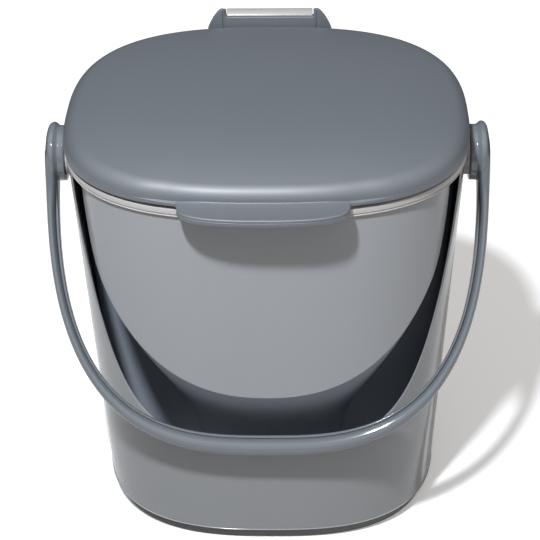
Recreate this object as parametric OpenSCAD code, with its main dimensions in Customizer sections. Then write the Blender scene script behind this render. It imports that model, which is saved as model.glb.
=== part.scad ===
// Compost caddy: a scooped outer shell round a smooth pail, a bail handle on side
// pivots, and a domed lid on a rear hinge. Millimetres, +Z up, the front faces -Y,
// and the origin is the centre of the foot's underside.

/* [Body] */
// Width of the outer shell at its top edge
rim_w = 221; // [205:1:240]
// Depth of the outer shell at its top edge
rim_d = 189.6; // [175:0.2:205]
// Width of the outer shell at its bottom edge
base_w = 199; // [180:1:215]
// Depth of the outer shell at its bottom edge
base_d = 176; // [160:1:186]
// Height of the shell's and the pail's top edges
shell_top = 227.4; // [205:0.2:250]
// Squareness of every plan outline, 2 is an ellipse
corner_n = 2.7; // [2.4:0.05:3.2]
// Wall of the outer shell
shell_wall = 2.4; // [1.8:0.1:3]
// Thickness of the collar above the shell
collar_h = 5.2; // [4:0.1:7]
// How far the collar stands proud of the shell
collar_proud = 0.5; // [0:0.1:1.2]

/* [Scoop] */
// Width of shell left beside the scoop at the top edge, seen from the front
scoop_post = 5; // [3.5:0.5:9]
// Height of the scoop's sill at the front centre
sill_z = 78; // [66:1:92]
// Flat left along the shell's cut edge before it is undercut
edge_flat = 0.4; // [0.3:0.1:0.8]
// How far the undercut sets the inner edge back from the outer one
undercut = 3; // [2:0.5:4]

/* [Pail] */
// Wall and floor of the pail
pail_wall = 2.4; // [1.8:0.1:3.2]
// Clearance between the shell's inner face and the pail
pail_gap = 0.6; // [0.4:0.1:1]
// Height of the pail's underside
pail_floor_z = 9; // [8:1:22]
// Fillet round the pail's floor
pail_fillet = 16; // [10:1:22]
// Half width at the rim of the pail's upright front face
face_half_w = 101; // [94:1:104]
// Height at which the front face turns inwards, at the centre
face_turn_z = 107; // [98:1:120]
// Inward slope below that turn
face_slope = 0.65; // [0.5:0.01:0.7]
// Depth of the finger recess behind the scoop
recess_d = 58; // [40:1:62]

/* [Foot] */
// Height of the non-slip foot ring
foot_h = 8; // [6:0.5:10]
// Width of the foot ring's tread
foot_band = 9; // [7:0.5:12]
// How far the foot ring sits in from the shell's edge
foot_inset = 2.4; // [1.6:0.1:3]
// Thickness of the base plate
plate_t = 3; // [2.4:0.1:4]
// Height of the base plate's underside
plate_z = 2; // [1:0.5:3]
// Height of the tongue that locates the foot ring inside the shell
tongue_h = 4; // [2:0.5:5]
// Thickness of that tongue
tongue_t = 2.4; // [2:0.1:3]

/* [Lid] */
// Overhang of the lid beyond the shell's top edge
lid_over = 2; // [1.2:0.1:3]
// Gap between the collar and the lid's lower edge
lid_gap = 2; // [1.6:0.1:2.6]
// Height of the lid's upright lip
lid_lip = 2.2; // [1.6:0.1:4]
// Radius of the lid's shoulder
lid_shoulder = 12; // [9:0.5:14]
// Rise of the dome from the shoulder to the centre
dome_rise = 4.5; // [2:0.5:7]
// Wall of the lid
lid_wall = 2.4; // [1.8:0.1:2.8]
// Half width of the thumb tab
tab_half_w = 44.5; // [36:0.5:52]
// How far the thumb tab stands out from the lid
tab_out = 14.4; // [10:0.2:18]
// Thickness of the thumb tab at its edge
tab_t = 4; // [3:0.1:5]
// How far the tab's edge hangs below the lid's edge
tab_drop = 1.6; // [1:0.1:2.4]
// Rise of the tab's top from its edge back to the lid
tab_rise = 3.6; // [2:0.1:4.5]
// Thickness of the liner plate
liner_t = 2.2; // [1.8:0.1:2.6]
// Depth of the liner's skirt below the lid's edge
liner_skirt = 6; // [3:0.5:7]
// Clearance round the liner's skirt
liner_gap = 2; // [1.5:0.1:3]
// Width of the lid's face seal
seal_w = 3; // [2:0.5:4]
// Gap left under the seal when the lid is shut
seal_gap = 0.3; // [0.2:0.1:0.5]

/* [Lid hinge] */
// Distance from the shell's rear edge to the hinge axis
hinge_back = 7.2; // [6.6:0.1:10]
// Height of the hinge axis above the lid's lower edge
hinge_up = 14.4; // [13.4:0.2:17]
// Radius of the hinge barrel
barrel_r = 5.2; // [4.6:0.1:5.6]
// Length of the hinge barrel
barrel_l = 51.6; // [40:0.2:60]
// Radius of the hinge pin
hinge_pin_r = 1.7; // [1.4:0.1:2.2]
// Running clearance of the hinge pin in its barrel
hinge_play = 0.06; // [0.03:0.01:0.1]
// Side clearance between the barrel and each ear
ear_gap = 0.5; // [0.3:0.1:0.8]
// Thickness of each ear
ear_t = 2.5; // [2:0.1:4]
// Radius of each ear
ear_r = 6; // [5.6:0.1:7]
// Half width of the bracket where it leaves the lid
bracket_half_w = 37.5; // [33:0.5:44]
// Thickness of the bracket's cross wall
bracket_t = 2.6; // [2:0.1:3.2]
// Width of the riser that carries the barrel
riser_w = 40; // [30:1:44]
// Thickness of the riser
riser_t = 5; // [4:0.5:6]

/* [Handle] */
// Height of the shell's top edge above the handle's pivots
pivot_drop = 13.9; // [10:0.1:22]
// Distance from the pivot axis to the outside of the grip
bail_reach = 171; // [160:1:182]
// Thickness of the arms, seen from the front
arm_t = 6.9; // [5.5:0.1:7.5]
// Height of the grip, seen from the front
grip_h = 11.4; // [9:0.2:14]
// Depth of the arms, front to back
arm_d = 14; // [12:0.5:17]
// Depth of the grip, front to back
grip_d = 9.6; // [8:0.2:10]
// Forward lean of the hanging handle from upright
rest_angle = 35.4; // [35.4:0.1:40]
// Radius of each handle hub
hub_r = 17.6; // [16:0.2:19]
// Length of each hub along its pin
hub_l = 11.9; // [10:0.1:14]
// Depth of each hub's domed face
hub_dome = 3; // [2:0.2:3.6]
// Length of the narrower neck on each hub's inner side
neck_l = 4.2; // [3:0.1:5]
// How much narrower the neck is than its hub
neck_step = 1.4; // [1:0.1:3]
// Radius of the cap in each hub
cap_r = 9; // [8:0.2:10]
// Thickness of the cap in each hub, at its centre
cap_t = 2.8; // [2.2:0.1:3]
// Radius of the boss on each side of the shell
boss_r = 12.6; // [10:0.2:13.4]
// How far each boss stands out from the shell
boss_l = 2.6; // [2:0.1:4]
// Radius of each pivot pin
pivot_r = 4; // [3:0.1:5]
// Radius of each pivot pin's head
pin_head_r = 6.4; // [5.6:0.1:7]
// Thickness of each pivot pin's head
pin_head_t = 1.4; // [1:0.1:1.6]
// Running clearance of each hub on its pin
pivot_play = 0.08; // [0.03:0.01:0.1]
// Thickness of the washer between boss and hub
washer_t = 0.8; // [0.5:0.1:1.2]
// Side clearance between washer and hub
washer_gap = 0.3; // [0.2:0.1:0.5]

/* [Hidden] */

$fn = 48;
// Half the columns of a lofted outline beside the scoop, across it and behind it
SILL_COLS = 5;
EDGE_COLS = 11;
BACK_COLS = 26;
// Share of the scoop's half width that the columns across its sill take
SILL_SHARE = 0.6;
// Sides of a plain extruded outline
PLAN_SIDES = 96;
// Small overlap that lets one cut pass clean through another, and a hole's wider one
eps = 0.01;
HOLE_MARGIN = 1;
// Clearances of the liner's edge in the lid and of the foot's tongue in the shell
LINER_FIT = 0.2;
TONGUE_FIT = 0.1;
// Height of the seal's seat above the seal's gap
SEAL_SEAT = 0.3;
// How far each hub's dome stands beyond the bail's arm
HUB_PROUD = 0.4;
// Shell left behind the inner end of each pivot pin
PIN_BACK = 1;

shell_color = [0.46, 0.48, 0.50];
pail_color = [0.56, 0.57, 0.60];
lid_color = [0.47, 0.49, 0.52];
handle_color = [0.55, 0.57, 0.60];
pale_color = [0.80, 0.79, 0.78];
rubber_color = [0.25, 0.25, 0.26];
pin_color = [0.62, 0.63, 0.65];

// Exponents of the scoop's outline across and down, and of the front face's outline
EDGE_P = 6;
EDGE_Q = 1.7;
FACE_P = 2.2;
// How sharply the recess settles at its depth
RECESS_P = 5;
// How far round from the front the inward turn fades out, as a sine
FADE = 0.35;

collar_z = shell_top;
lid_z = collar_z + collar_h + lid_gap;
lid_a = rim_w / 2 + lid_over;
lid_b = rim_d / 2 + lid_over;
hinge_y = rim_d / 2 + hinge_back;
hinge_z = lid_z + hinge_up;
pail_in = shell_wall + pail_gap;
mouth_in = pail_in + pail_wall;
sill_drop = shell_top - sill_z;
face_drop = shell_top - face_turn_z;
post_u = 1 - scoop_post / (rim_w / 2);
pivot_z = shell_top - pivot_drop;
pin_in = shell_a(pivot_z) + PIN_BACK;
boss_out = shell_a(pivot_z) + boss_l;
hub_in = boss_out + washer_t + washer_gap;
hub_out = hub_in + hub_l;
head_x = hub_out - cap_t - washer_gap - pin_head_t;
bail_half_w = hub_out - HUB_PROUD;

// Half width and half depth of the shell's outside at height z
function climb(z) = (z - foot_h) / (shell_top - foot_h);
function shell_a(z) = base_w / 2 + (rim_w - base_w) / 2 * climb(z);
function shell_b(z) = base_d / 2 + (rim_d - base_d) / 2 * climb(z);

// One point of a squared outline at angle t
function powered(v, n) = sign(v) * pow(abs(v), 2 / n);
function squared(a, b, n, t) = [a * powered(cos(t), n), b * powered(sin(t), n)];
function plan(a, b, t) = squared(a, b, corner_n, t);
function outline(a, b, sides = PLAN_SIDES) =
    [for (i = [0 : sides - 1]) plan(a, b, 360 * i / sides)];
function lift(p, z) = [p[0], p[1], z];

// Angle of the column that crosses the outline at a share u of its half width
function column(u) = -acos(min(1, pow(u, corner_n / 2)));
// Height of the shell's edge in the column at angle t: the scoop's sill, then its side.
// The scoop may be grown by a margin all round.
function edge_share(t, grow = 0) = pow(abs(cos(t)), 2 / corner_n) / (post_u + grow / (rim_w / 2));
function edge_z(t, grow = 0) = (sin(t) >= 0 || edge_share(t, grow) >= 1) ? shell_top
    : shell_top - (sill_drop + grow) * pow(1 - pow(edge_share(t, grow), EDGE_P), 1 / EDGE_Q);

// Columns from the front centre round one side to the rear centre, close together
// where the scoop's edge is steep
edge_spread = acos(pow(SILL_SHARE, EDGE_P / 2));
half_columns = concat(
    [for (i = [0 : SILL_COLS - 1]) column(post_u * SILL_SHARE * i / SILL_COLS)],
    [for (i = [0 : EDGE_COLS])
        column(post_u * pow(cos(edge_spread * (1 - i / EDGE_COLS)), 2 / EDGE_P))],
    [for (i = [1 : BACK_COLS]) let (t0 = column(post_u)) t0 + (90 - t0) * i / BACK_COLS]);
last_half = len(half_columns) - 1;
columns = concat(half_columns, [for (i = [last_half - 1 : -1 : 1]) -180 - half_columns[i]]);

// How far the pail's wall lies in from the shell's outside at angle t and height z
function face_x(t, z) = abs(plan(shell_a(z), shell_b(z), t)[0]);
function face_rho(t, z) = pow(pow(face_x(t, z) / face_half_w, FACE_P)
    + pow(max(0, shell_top - z) / face_drop, FACE_P), 1 / FACE_P);
function smooth(v) = let (c = max(0, min(1, v))) c * c * (3 - 2 * c);
function settle(v) = v / pow(1 + pow(v / recess_d, RECESS_P), 1 / RECESS_P);
function turn_in(t, z) =
    settle(face_slope * face_drop * max(0, face_rho(t, z) - 1)) * smooth(-sin(t) / FADE);
function floor_in(z, r) = z >= pail_floor_z + r ? 0
    : r - sqrt(max(0, r * r - pow(r - (z - pail_floor_z), 2)));
function pail_inset(t, z) = pail_in + turn_in(t, z);
// Height at which the front face starts to turn in, in the column at angle t
function turn_step(t, z) = let (s = min(1, face_x(t, z) / face_half_w))
    shell_top - face_drop * pow(max(0, 1 - pow(s, FACE_P)), 1 / FACE_P);
function turn_z(t) = sin(t) >= 0 ? shell_top
    : turn_step(t, turn_step(t, turn_step(t, turn_step(t, shell_top))));

function shell_point(t, inset, z) = lift(plan(shell_a(z) - inset, shell_b(z) - inset, t), z);
function ring(z_list, inset_list) =
    [for (i = [0 : len(columns) - 1]) shell_point(columns[i], inset_list[i], z_list[i])];

// Triangles between rings of equal length, closed round, with flat caps or joined end to end
function strip(n, a, b) = [for (i = [0 : n - 1]) let (j = (i + 1) % n)
    each [[a + i, b + j, a + j], [a + i, b + i, b + j]]];
module skin(rings, hoop = false) {
    n = len(rings[0]);
    m = len(rings);
    walls = [for (k = [0 : m - 2]) each strip(n, k * n, (k + 1) * n)];
    ends = hoop ? strip(n, (m - 1) * n, 0)
        : [[for (i = [0 : n - 1]) i], [for (i = [n - 1 : -1 : 0]) (m - 1) * n + i]];
    polyhedron(points = [for (r = rings) each r], faces = concat(walls, ends));
}

// Outer shell: open at the foot and scooped at the front, with an undercut edge
SHELL_ROWS = 7;
function share_rows(tops, k) = [for (z = tops) foot_h + (z - foot_h) * k / SHELL_ROWS];
module outer_shell() {
    tops = [for (t = columns) edge_z(t)];
    low_tops = [for (t = columns) edge_z(t, undercut)];
    none = [for (t = columns) 0];
    flat = [for (t = columns) edge_flat];
    full = [for (t = columns) shell_wall];
    outside = [for (k = [0 : SHELL_ROWS]) ring(share_rows(tops, k), none)];
    inside = [for (k = [SHELL_ROWS : -1 : 0]) ring(share_rows(low_tops, k), full)];
    color(shell_color) skin(concat(outside, [ring(tops, flat)], inside), hoop = true);
}

// Inner pail: an upright front face that turns inwards over the finger recess
FACE_ROWS = 3;
TURN_ROWS = 9;
FILLET_ROWS = 4;
// Least height of the upright face in any column
FACE_LEAST = 4;
function pail_heights(t, low, r) = let (zt = min(turn_z(t), shell_top - FACE_LEAST), zf = low + r) concat(
    [for (k = [0 : FILLET_ROWS]) low + r * (1 - cos(90 * k / FILLET_ROWS))],
    [for (k = [1 : TURN_ROWS]) zf + (zt - zf) * k / TURN_ROWS],
    [for (k = [1 : FACE_ROWS]) zt + (shell_top - zt) * k / FACE_ROWS]);
module inner_pail() {
    rows = FILLET_ROWS + TURN_ROWS + FACE_ROWS;
    inner_r = pail_fillet - pail_wall;
    low = [for (t = columns) pail_heights(t, pail_floor_z, pail_fillet)];
    high = [for (t = columns) pail_heights(t, pail_floor_z + pail_wall, inner_r)];
    outside = [for (k = [0 : rows]) ring([for (h = low) h[k]],
        [for (i = [0 : len(columns) - 1])
            pail_inset(columns[i], low[i][k]) + floor_in(low[i][k], pail_fillet)])];
    inside = [for (k = [rows : -1 : 0]) ring([for (h = high) h[k]],
        [for (i = [0 : len(columns) - 1]) pail_wall
            + pail_inset(columns[i], high[i][k]) + floor_in(high[i][k] - pail_wall, inner_r)])];
    color(pail_color) skin(concat(outside, inside));
}

// A flat ring or plate that follows the plan outline
module plate(a, b, z0, z1) {
    translate([0, 0, z0]) linear_extrude(z1 - z0) polygon(outline(a, b));
}
module band(a, b, inset0, inset1, z0, z1) {
    translate([0, 0, z0]) linear_extrude(z1 - z0) difference() {
        polygon(outline(a - inset0, b - inset0));
        polygon(outline(a - inset1, b - inset1));
    }
}

// Collar: a band over both rims, with a riser behind it that carries the hinge barrel
module rim_collar() {
    riser_y = hinge_y - riser_t / 2;
    rear_y = rim_d / 2 - mouth_in / 2;
    color(pale_color) difference() {
        union() {
            band(rim_w / 2, rim_d / 2, -collar_proud, mouth_in, collar_z, collar_z + collar_h);
            at_hinge() rod_x(barrel_r, -barrel_l / 2, barrel_l / 2);
            translate([-riser_w / 2, riser_y, collar_z]) cube([riser_w, riser_t, hinge_z - collar_z]);
            translate([-riser_w / 2, rear_y, collar_z]) cube([riser_w, riser_y - rear_y + eps, collar_h]);
        }
        at_hinge() rod_x(hinge_pin_r + hinge_play, -barrel_l, barrel_l);
    }
}

module foot_ring() {
    tongue = shell_wall + TONGUE_FIT;
    color(rubber_color) union() {
        band(base_w / 2, base_d / 2, foot_inset, foot_inset + foot_band, 0, foot_h);
        band(base_w / 2, base_d / 2, tongue, tongue + tongue_t, foot_h - eps, foot_h + tongue_h);
    }
}

module base_plate() {
    inset = foot_inset + foot_band;
    color(shell_color) plate(base_w / 2 - inset, base_d / 2 - inset, plate_z, plate_z + plate_t);
}

// Lid: an upright lip, a round shoulder and a shallow dome
LID_COLS = 84;
SHOULDER_ROWS = 5;
DOME_ROWS = 6;
// Share of the dome's outline that stays flat at its centre
DOME_FLAT = 0.04;
function lid_ring(a, b, z) = [for (p = outline(a, b, LID_COLS)) lift(p, z)];
function lid_rings(inset) = let (r = lid_shoulder - inset, zs = lid_z + lid_lip) concat(
    [lid_ring(lid_a - inset, lid_b - inset, lid_z)],
    [for (k = [0 : SHOULDER_ROWS]) let (w = 90 * k / SHOULDER_ROWS)
        lid_ring(lid_a - inset - r * (1 - cos(w)), lid_b - inset - r * (1 - cos(w)), zs + r * sin(w))],
    [for (k = [1 : DOME_ROWS]) let (s = 1 - (1 - DOME_FLAT) * k / DOME_ROWS)
        lid_ring((lid_a - lid_shoulder) * s, (lid_b - lid_shoulder) * s,
            zs + r + dome_rise * (1 - s * s))]);
module lid_shell() {
    over = lid_rings(0);
    under = lid_rings(lid_wall);
    color(lid_color)
        skin(concat([for (k = [len(under) - 1 : -1 : 0]) under[k]], over));
}

// Thumb tab: a rounded lip that hangs just in front of the collar
TAB_N = 2.6;
TAB_SIDES = 40;
// Clearance in front of the collar, and margin of the outline round the side view
TAB_GAP = 1;
TAB_MARGIN = 1;
// Distances from the lid's edge at which the tab's top is full height and at which it
// bends, and the share of its rise left at that bend
TAB_ROOT = 2;
TAB_BEND = 4;
BEND_SHARE = 0.33;
module tab_plan() {
    difference() {
        polygon(concat([[tab_half_w, 0]],
            [for (k = [0 : TAB_SIDES]) let (p = squared(tab_half_w, tab_out, TAB_N, 180 * k / TAB_SIDES))
                [p[0], -lid_b - p[1]]], [[-tab_half_w, 0]]));
        polygon(outline(lid_a - lid_wall / 2, lid_b - lid_wall / 2));
    }
}
module thumb_tab() {
    front = -lid_b - tab_out - TAB_MARGIN;
    back = -lid_b + tab_out;
    low = lid_z - tab_drop;
    high = low + tab_t + tab_rise;
    clear_y = -rim_d / 2 - collar_proud - TAB_GAP;
    side = [[front, low], [clear_y, low], [clear_y, lid_z], [back, lid_z], [back, high],
        [-lid_b + TAB_ROOT, high], [-lid_b - TAB_BEND, low + tab_t + tab_rise * BEND_SHARE],
        [front, low + tab_t]];
    color(lid_color) intersection() {
        rotate([90, 0, 90]) translate([0, 0, -tab_half_w - TAB_MARGIN])
            linear_extrude(2 * (tab_half_w + TAB_MARGIN)) polygon(side);
        translate([0, 0, low - TAB_MARGIN]) linear_extrude(high - low + 2 * TAB_MARGIN) tab_plan();
    }
}

// Liner: a plate inside the lid with a skirt that drops into the mouth
module lid_liner() {
    z0 = lid_z + seal_gap + SEAL_SEAT;
    a = rim_w / 2 - mouth_in - liner_gap;
    b = rim_d / 2 - mouth_in - liner_gap;
    snap = lid_wall + LINER_FIT;
    color(pale_color) union() {
        plate(lid_a - snap, lid_b - snap, z0, z0 + liner_t);
        band(a, b, 0, liner_t, lid_z - liner_skirt, z0 + eps);
    }
}

module lid_seal() {
    color(rubber_color) band(rim_w / 2 - pail_in, rim_d / 2 - pail_in, -seal_w / 2, seal_w / 2,
        collar_z + collar_h + seal_gap, lid_z + seal_gap + SEAL_SEAT);
}

// Round piece along X between x0 and x1
module rod_x(r, x0, x1) {
    translate([x0, 0, 0]) rotate([0, 90, 0]) cylinder(h = x1 - x0, r = r);
}
module at_hinge() { translate([0, hinge_y, hinge_z]) children(); }
module at_pivot(side) { translate([0, 0, pivot_z]) mirror([side < 0 ? 1 : 0, 0, 0]) children(); }

module hinge_pin() {
    half = barrel_l / 2 + ear_gap + ear_t;
    color(pin_color) at_hinge() rod_x(hinge_pin_r, -half, half);
}

// Bracket: a shouldered cross wall on the lid with two ears round the barrel
SHOULDER_N = 1.4;
SHOULDER_SIDES = 8;
// Height of its foot above the lip, rise of its shoulders above the ears, and drop of
// the cross wall below the barrel's top
BRACKET_FOOT = 3;
BRACKET_RISE = 1.8;
BRACKET_DIP = 3;
module lid_bracket() {
    ear_in = barrel_l / 2 + ear_gap;
    ear_out = ear_in + ear_t;
    wall_y = hinge_y - barrel_r - ear_gap - bracket_t;
    low = lid_z + lid_lip + BRACKET_FOOT;
    foot_z = hinge_z - barrel_r;
    top = hinge_z + ear_r + BRACKET_RISE;
    half = [for (k = [0 : SHOULDER_SIDES])
        let (p = squared(bracket_half_w - ear_out, top - foot_z, SHOULDER_N, 90 * k / SHOULDER_SIDES))
        [ear_out + p[0], foot_z + p[1]]];
    face = concat([[bracket_half_w, low]], half,
        [[ear_in, top], [ear_in, hinge_z + barrel_r - BRACKET_DIP]]);
    color(lid_color) difference() {
        union() {
            translate([0, wall_y + bracket_t, 0]) rotate([90, 0, 0]) linear_extrude(bracket_t)
                polygon(concat(face, [for (i = [len(face) - 1 : -1 : 0]) [-face[i][0], face[i][1]]]));
            for (side = [-1, 1]) mirror([side < 0 ? 1 : 0, 0, 0]) {
                at_hinge() rod_x(ear_r, ear_in, ear_out);
                translate([ear_in, wall_y + eps, hinge_z - ear_r])
                    cube([ear_t, hinge_y - wall_y, 2 * ear_r]);
            }
        }
        at_hinge() rod_x(hinge_pin_r, -2 * ear_out, 2 * ear_out);
    }
}

// Bail: a flat arm each side that broadens into the grip, as a sweep of rounded sections
BAIL_STEPS = 44;
SECTION_SIDES = 12;
BAIL_OUT_N = 2.75;
BAIL_IN_N = 2.95;
SECTION_N = 3;
// How soon along the arms the depth reaches the grip's
GRIP_SPREAD = 1.15;
function bail_frame(p, q) = let (v = rest_angle)
    [p[0], -p[1] * sin(v) - q * cos(v), pivot_z - p[1] * cos(v) + q * sin(v)];
function bail_ring(w) = let (
        o = squared(bail_half_w, bail_reach, BAIL_OUT_N, w),
        i = squared(bail_half_w - arm_t, bail_reach - grip_h, BAIL_IN_N, w),
        mid = (o + i) / 2, half = (o - i) / 2,
        d = (arm_d + (grip_d - arm_d) * smooth(sin(w) * GRIP_SPREAD)) / 2)
    [for (k = [0 : SECTION_SIDES - 1]) let (v = 360 * k / SECTION_SIDES)
        bail_frame(mid + half * powered(cos(v), SECTION_N), d * powered(sin(v), SECTION_N))];
module bail_sweep() {
    skin([for (k = [0 : BAIL_STEPS]) bail_ring(180 * k / BAIL_STEPS)]);
}

// Hub: a domed disc on a narrower neck, turned about the pivot
EDGE_SIDES = 5;
EDGE_R = 2;
DOME_SIDES = 5;
function dome_x(r) = hub_out - hub_dome * pow(r / hub_r, 2);
function dome(r) = [for (k = [DOME_SIDES - 1 : -1 : 0]) let (d = r * k / DOME_SIDES) [d, dome_x(d)]];
function hub_edge() = let (c = [hub_r - EDGE_R, dome_x(hub_r - EDGE_R) - EDGE_R])
    [for (k = [0 : EDGE_SIDES]) let (w = 90 * k / EDGE_SIDES) c + EDGE_R * [cos(w), sin(w)]];
module spin_x(profile) { rotate([90, 0, 90]) rotate_extrude() polygon(profile); }
module hub() {
    step_x = hub_in + neck_l;
    spin_x(concat([[0, hub_in], [hub_r - neck_step, hub_in], [hub_r - neck_step, step_x],
        [hub_r, step_x]], hub_edge(), dome(hub_r - EDGE_R)));
}
module hub_holes() {
    rod_x(pivot_r + pivot_play, hub_in - HOLE_MARGIN, hub_out + HOLE_MARGIN);
    rod_x(pin_head_r + washer_gap, head_x - washer_gap, hub_out + HOLE_MARGIN);
    rod_x(cap_r, hub_out - cap_t, hub_out + HOLE_MARGIN);
}
module handle_bail() {
    color(handle_color) difference() {
        union() {
            bail_sweep();
            for (side = [-1, 1]) at_pivot(side) hub();
        }
        for (side = [-1, 1]) at_pivot(side) hub_holes();
    }
}

module hub_cap(side) {
    color(handle_color) at_pivot(side) spin_x(concat([[0, hub_out - cap_t],
        [cap_r, hub_out - cap_t], [cap_r, dome_x(cap_r)]], dome(cap_r)));
}
module pivot_pin(side) {
    color(pin_color) at_pivot(side) {
        rod_x(pivot_r, pin_in, head_x + eps);
        rod_x(pin_head_r, head_x, head_x + pin_head_t);
    }
}
module pivot_boss(side) {
    color(shell_color) at_pivot(side) difference() {
        rod_x(boss_r, shell_a(pivot_z) - shell_wall / 2, boss_out);
        rod_x(pivot_r, pin_in, boss_out + eps);
    }
}
module pivot_washer(side) {
    color(pale_color) at_pivot(side) difference() {
        rod_x(boss_r, boss_out, boss_out + washer_t);
        rod_x(pivot_r, boss_out - eps, boss_out + washer_t + eps);
    }
}

outer_shell();
inner_pail();
rim_collar();
base_plate();
foot_ring();
hinge_pin();
lid_bracket();
lid_shell();
thumb_tab();
lid_liner();
lid_seal();
handle_bail();
hub_cap(-1);  // hub_cap_left
hub_cap(1);  // hub_cap_right
pivot_pin(-1);  // pivot_pin_left
pivot_pin(1);  // pivot_pin_right
pivot_boss(-1);  // pivot_boss_left
pivot_boss(1);  // pivot_boss_right
pivot_washer(-1);  // pivot_washer_left
pivot_washer(1);  // pivot_washer_right
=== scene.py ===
"""Looks of a kitchen compost caddy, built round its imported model.

A glossy scooped shell round a glossy pail, a satin lid with a thumb tab, a pale collar with
the hinge barrel, a rubber foot and a glossy bail handle on two hubs. Sizes are millimetres
until a mesh is made, and +Z is up with the front towards -Y.
"""

import logging
import math
from dataclasses import dataclass, field
from enum import Enum
from typing import Callable, Sequence

import bpy
import numpy as np
from mathutils import Matrix, Vector


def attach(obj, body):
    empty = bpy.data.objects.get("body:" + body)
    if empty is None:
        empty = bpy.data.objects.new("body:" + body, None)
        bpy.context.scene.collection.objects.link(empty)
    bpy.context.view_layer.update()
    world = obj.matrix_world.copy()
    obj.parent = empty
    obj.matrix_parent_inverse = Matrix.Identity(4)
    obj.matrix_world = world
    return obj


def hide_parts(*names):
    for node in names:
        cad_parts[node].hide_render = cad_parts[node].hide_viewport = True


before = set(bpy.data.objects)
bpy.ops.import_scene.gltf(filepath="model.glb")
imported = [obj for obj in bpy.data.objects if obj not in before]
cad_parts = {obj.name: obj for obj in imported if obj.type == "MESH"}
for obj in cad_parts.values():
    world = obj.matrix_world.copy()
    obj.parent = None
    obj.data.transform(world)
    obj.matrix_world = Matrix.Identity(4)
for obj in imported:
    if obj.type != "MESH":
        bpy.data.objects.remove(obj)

log = logging.getLogger("caddy")
MM = 0.001
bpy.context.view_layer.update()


class Part(Enum):
    """The bodies that pieces ride on, by their names in the record."""

    BODY = "body"
    LID = "lid"
    HANDLE = "handle"


class Side(Enum):
    """The left and right of the caddy, as the sign of x."""

    LEFT = -1
    RIGHT = 1


def put(name: str, data: bpy.types.ID) -> bpy.types.Object:
    """Makes an object of a mesh, lamp or camera and links it to the scene."""
    made = bpy.data.objects.new(name, data)
    bpy.context.scene.collection.objects.link(made)
    return made


# ---------------------------------------------------------------- shapes on grids


def powered(value: np.ndarray, n: float) -> np.ndarray:
    """The value's size to the power 2/n, with its own sign."""
    return np.sign(value) * np.abs(value) ** (2.0 / n)


def squared(a: np.ndarray, b: np.ndarray, n: float, t: np.ndarray) -> np.ndarray:
    """Points of a squared outline: x = a cos(t)^(2/n) and y = b sin(t)^(2/n), stacked last."""
    return np.stack(np.broadcast_arrays(a * powered(np.cos(t), n), b * powered(np.sin(t), n)), -1)


def lifted(flat: np.ndarray, z: np.ndarray) -> np.ndarray:
    """Flat points with their heights stacked on as z."""
    return np.concatenate([flat, np.broadcast_to(z, flat.shape[:-1])[..., None]], -1)


def smooth(value: np.ndarray) -> np.ndarray:
    """The smooth step 3v^2 - 2v^3 of the value kept between 0 and 1."""
    v = np.clip(value, 0.0, 1.0)
    return v * v * (3.0 - 2.0 * v)


def along(path: np.ndarray, closed: bool = False) -> np.ndarray:
    """Running length of a path at each of its points, with the closing leg added if closed."""
    legs = np.diff(np.vstack([path, path[:1]]) if closed else path, axis=0)
    return np.concatenate([[0.0], np.cumsum(np.linalg.norm(legs, axis=1))])


def sample(path: np.ndarray, run: np.ndarray, at: np.ndarray) -> np.ndarray:
    """Points of a closed path at places along it, run being the place of each point and its end."""
    closed = np.vstack([path, path[:1]])
    return np.stack([np.interp(at, run, closed[:, k]) for k in (0, 1)], 1)


def even_angles(a: float, b: float, n: float, start: float, end: float, count: int) -> np.ndarray:
    """Angles of a squared outline whose points lie equally far apart along it.

    Args:
        a: half width of the outline.
        b: half depth of the outline.
        n: squareness of the outline.
        start: first angle, in radians.
        end: last angle, in radians.
        count: number of angles, both ends among them.

    Returns:
        The angles, found by inverting the running length of a fine sampling.
    """
    t = np.linspace(start, end, 6001)
    run = along(squared(a, b, n, t))
    return np.interp(np.linspace(0.0, run[-1], count), run, t)


def round_corners(path: np.ndarray, cut: Sequence[float] | float, steps: int = 5) -> np.ndarray:
    """Rounds each corner of a closed path with a parabola that touches both its legs.

    The parabola starts and ends at the cut's distance from the corner C, so a point of it is
    (1-s)^2 A + 2s(1-s) C + s^2 B for s from 0 to 1.

    Args:
        path: corners, n by 2.
        cut: distance from each corner, one for all or one each.
        steps: points on each parabola.

    Returns:
        The rounded path, n * steps by 2.
    """
    path = np.asarray(path, float)
    cut = np.broadcast_to(np.asarray(cut, float), (len(path),))[:, None]
    back, ahead = np.roll(path, 1, 0) - path, np.roll(path, -1, 0) - path
    a = path + back / np.linalg.norm(back, axis=1, keepdims=True) * cut
    b = path + ahead / np.linalg.norm(ahead, axis=1, keepdims=True) * cut
    s = np.linspace(0.0, 1.0, steps)[None, :, None]
    curve = (1 - s) ** 2 * a[:, None] + 2 * s * (1 - s) * path[:, None] + s**2 * b[:, None]
    return curve.reshape(-1, 2)


def inward(outline: np.ndarray) -> np.ndarray:
    """Unit vectors that point into a closed path which runs anticlockwise."""
    way = np.roll(outline, -1, 0) - np.roll(outline, 1, 0)
    way = way / np.linalg.norm(way, axis=1, keepdims=True)
    return np.stack([-way[:, 1], way[:, 0]], 1)


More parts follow.
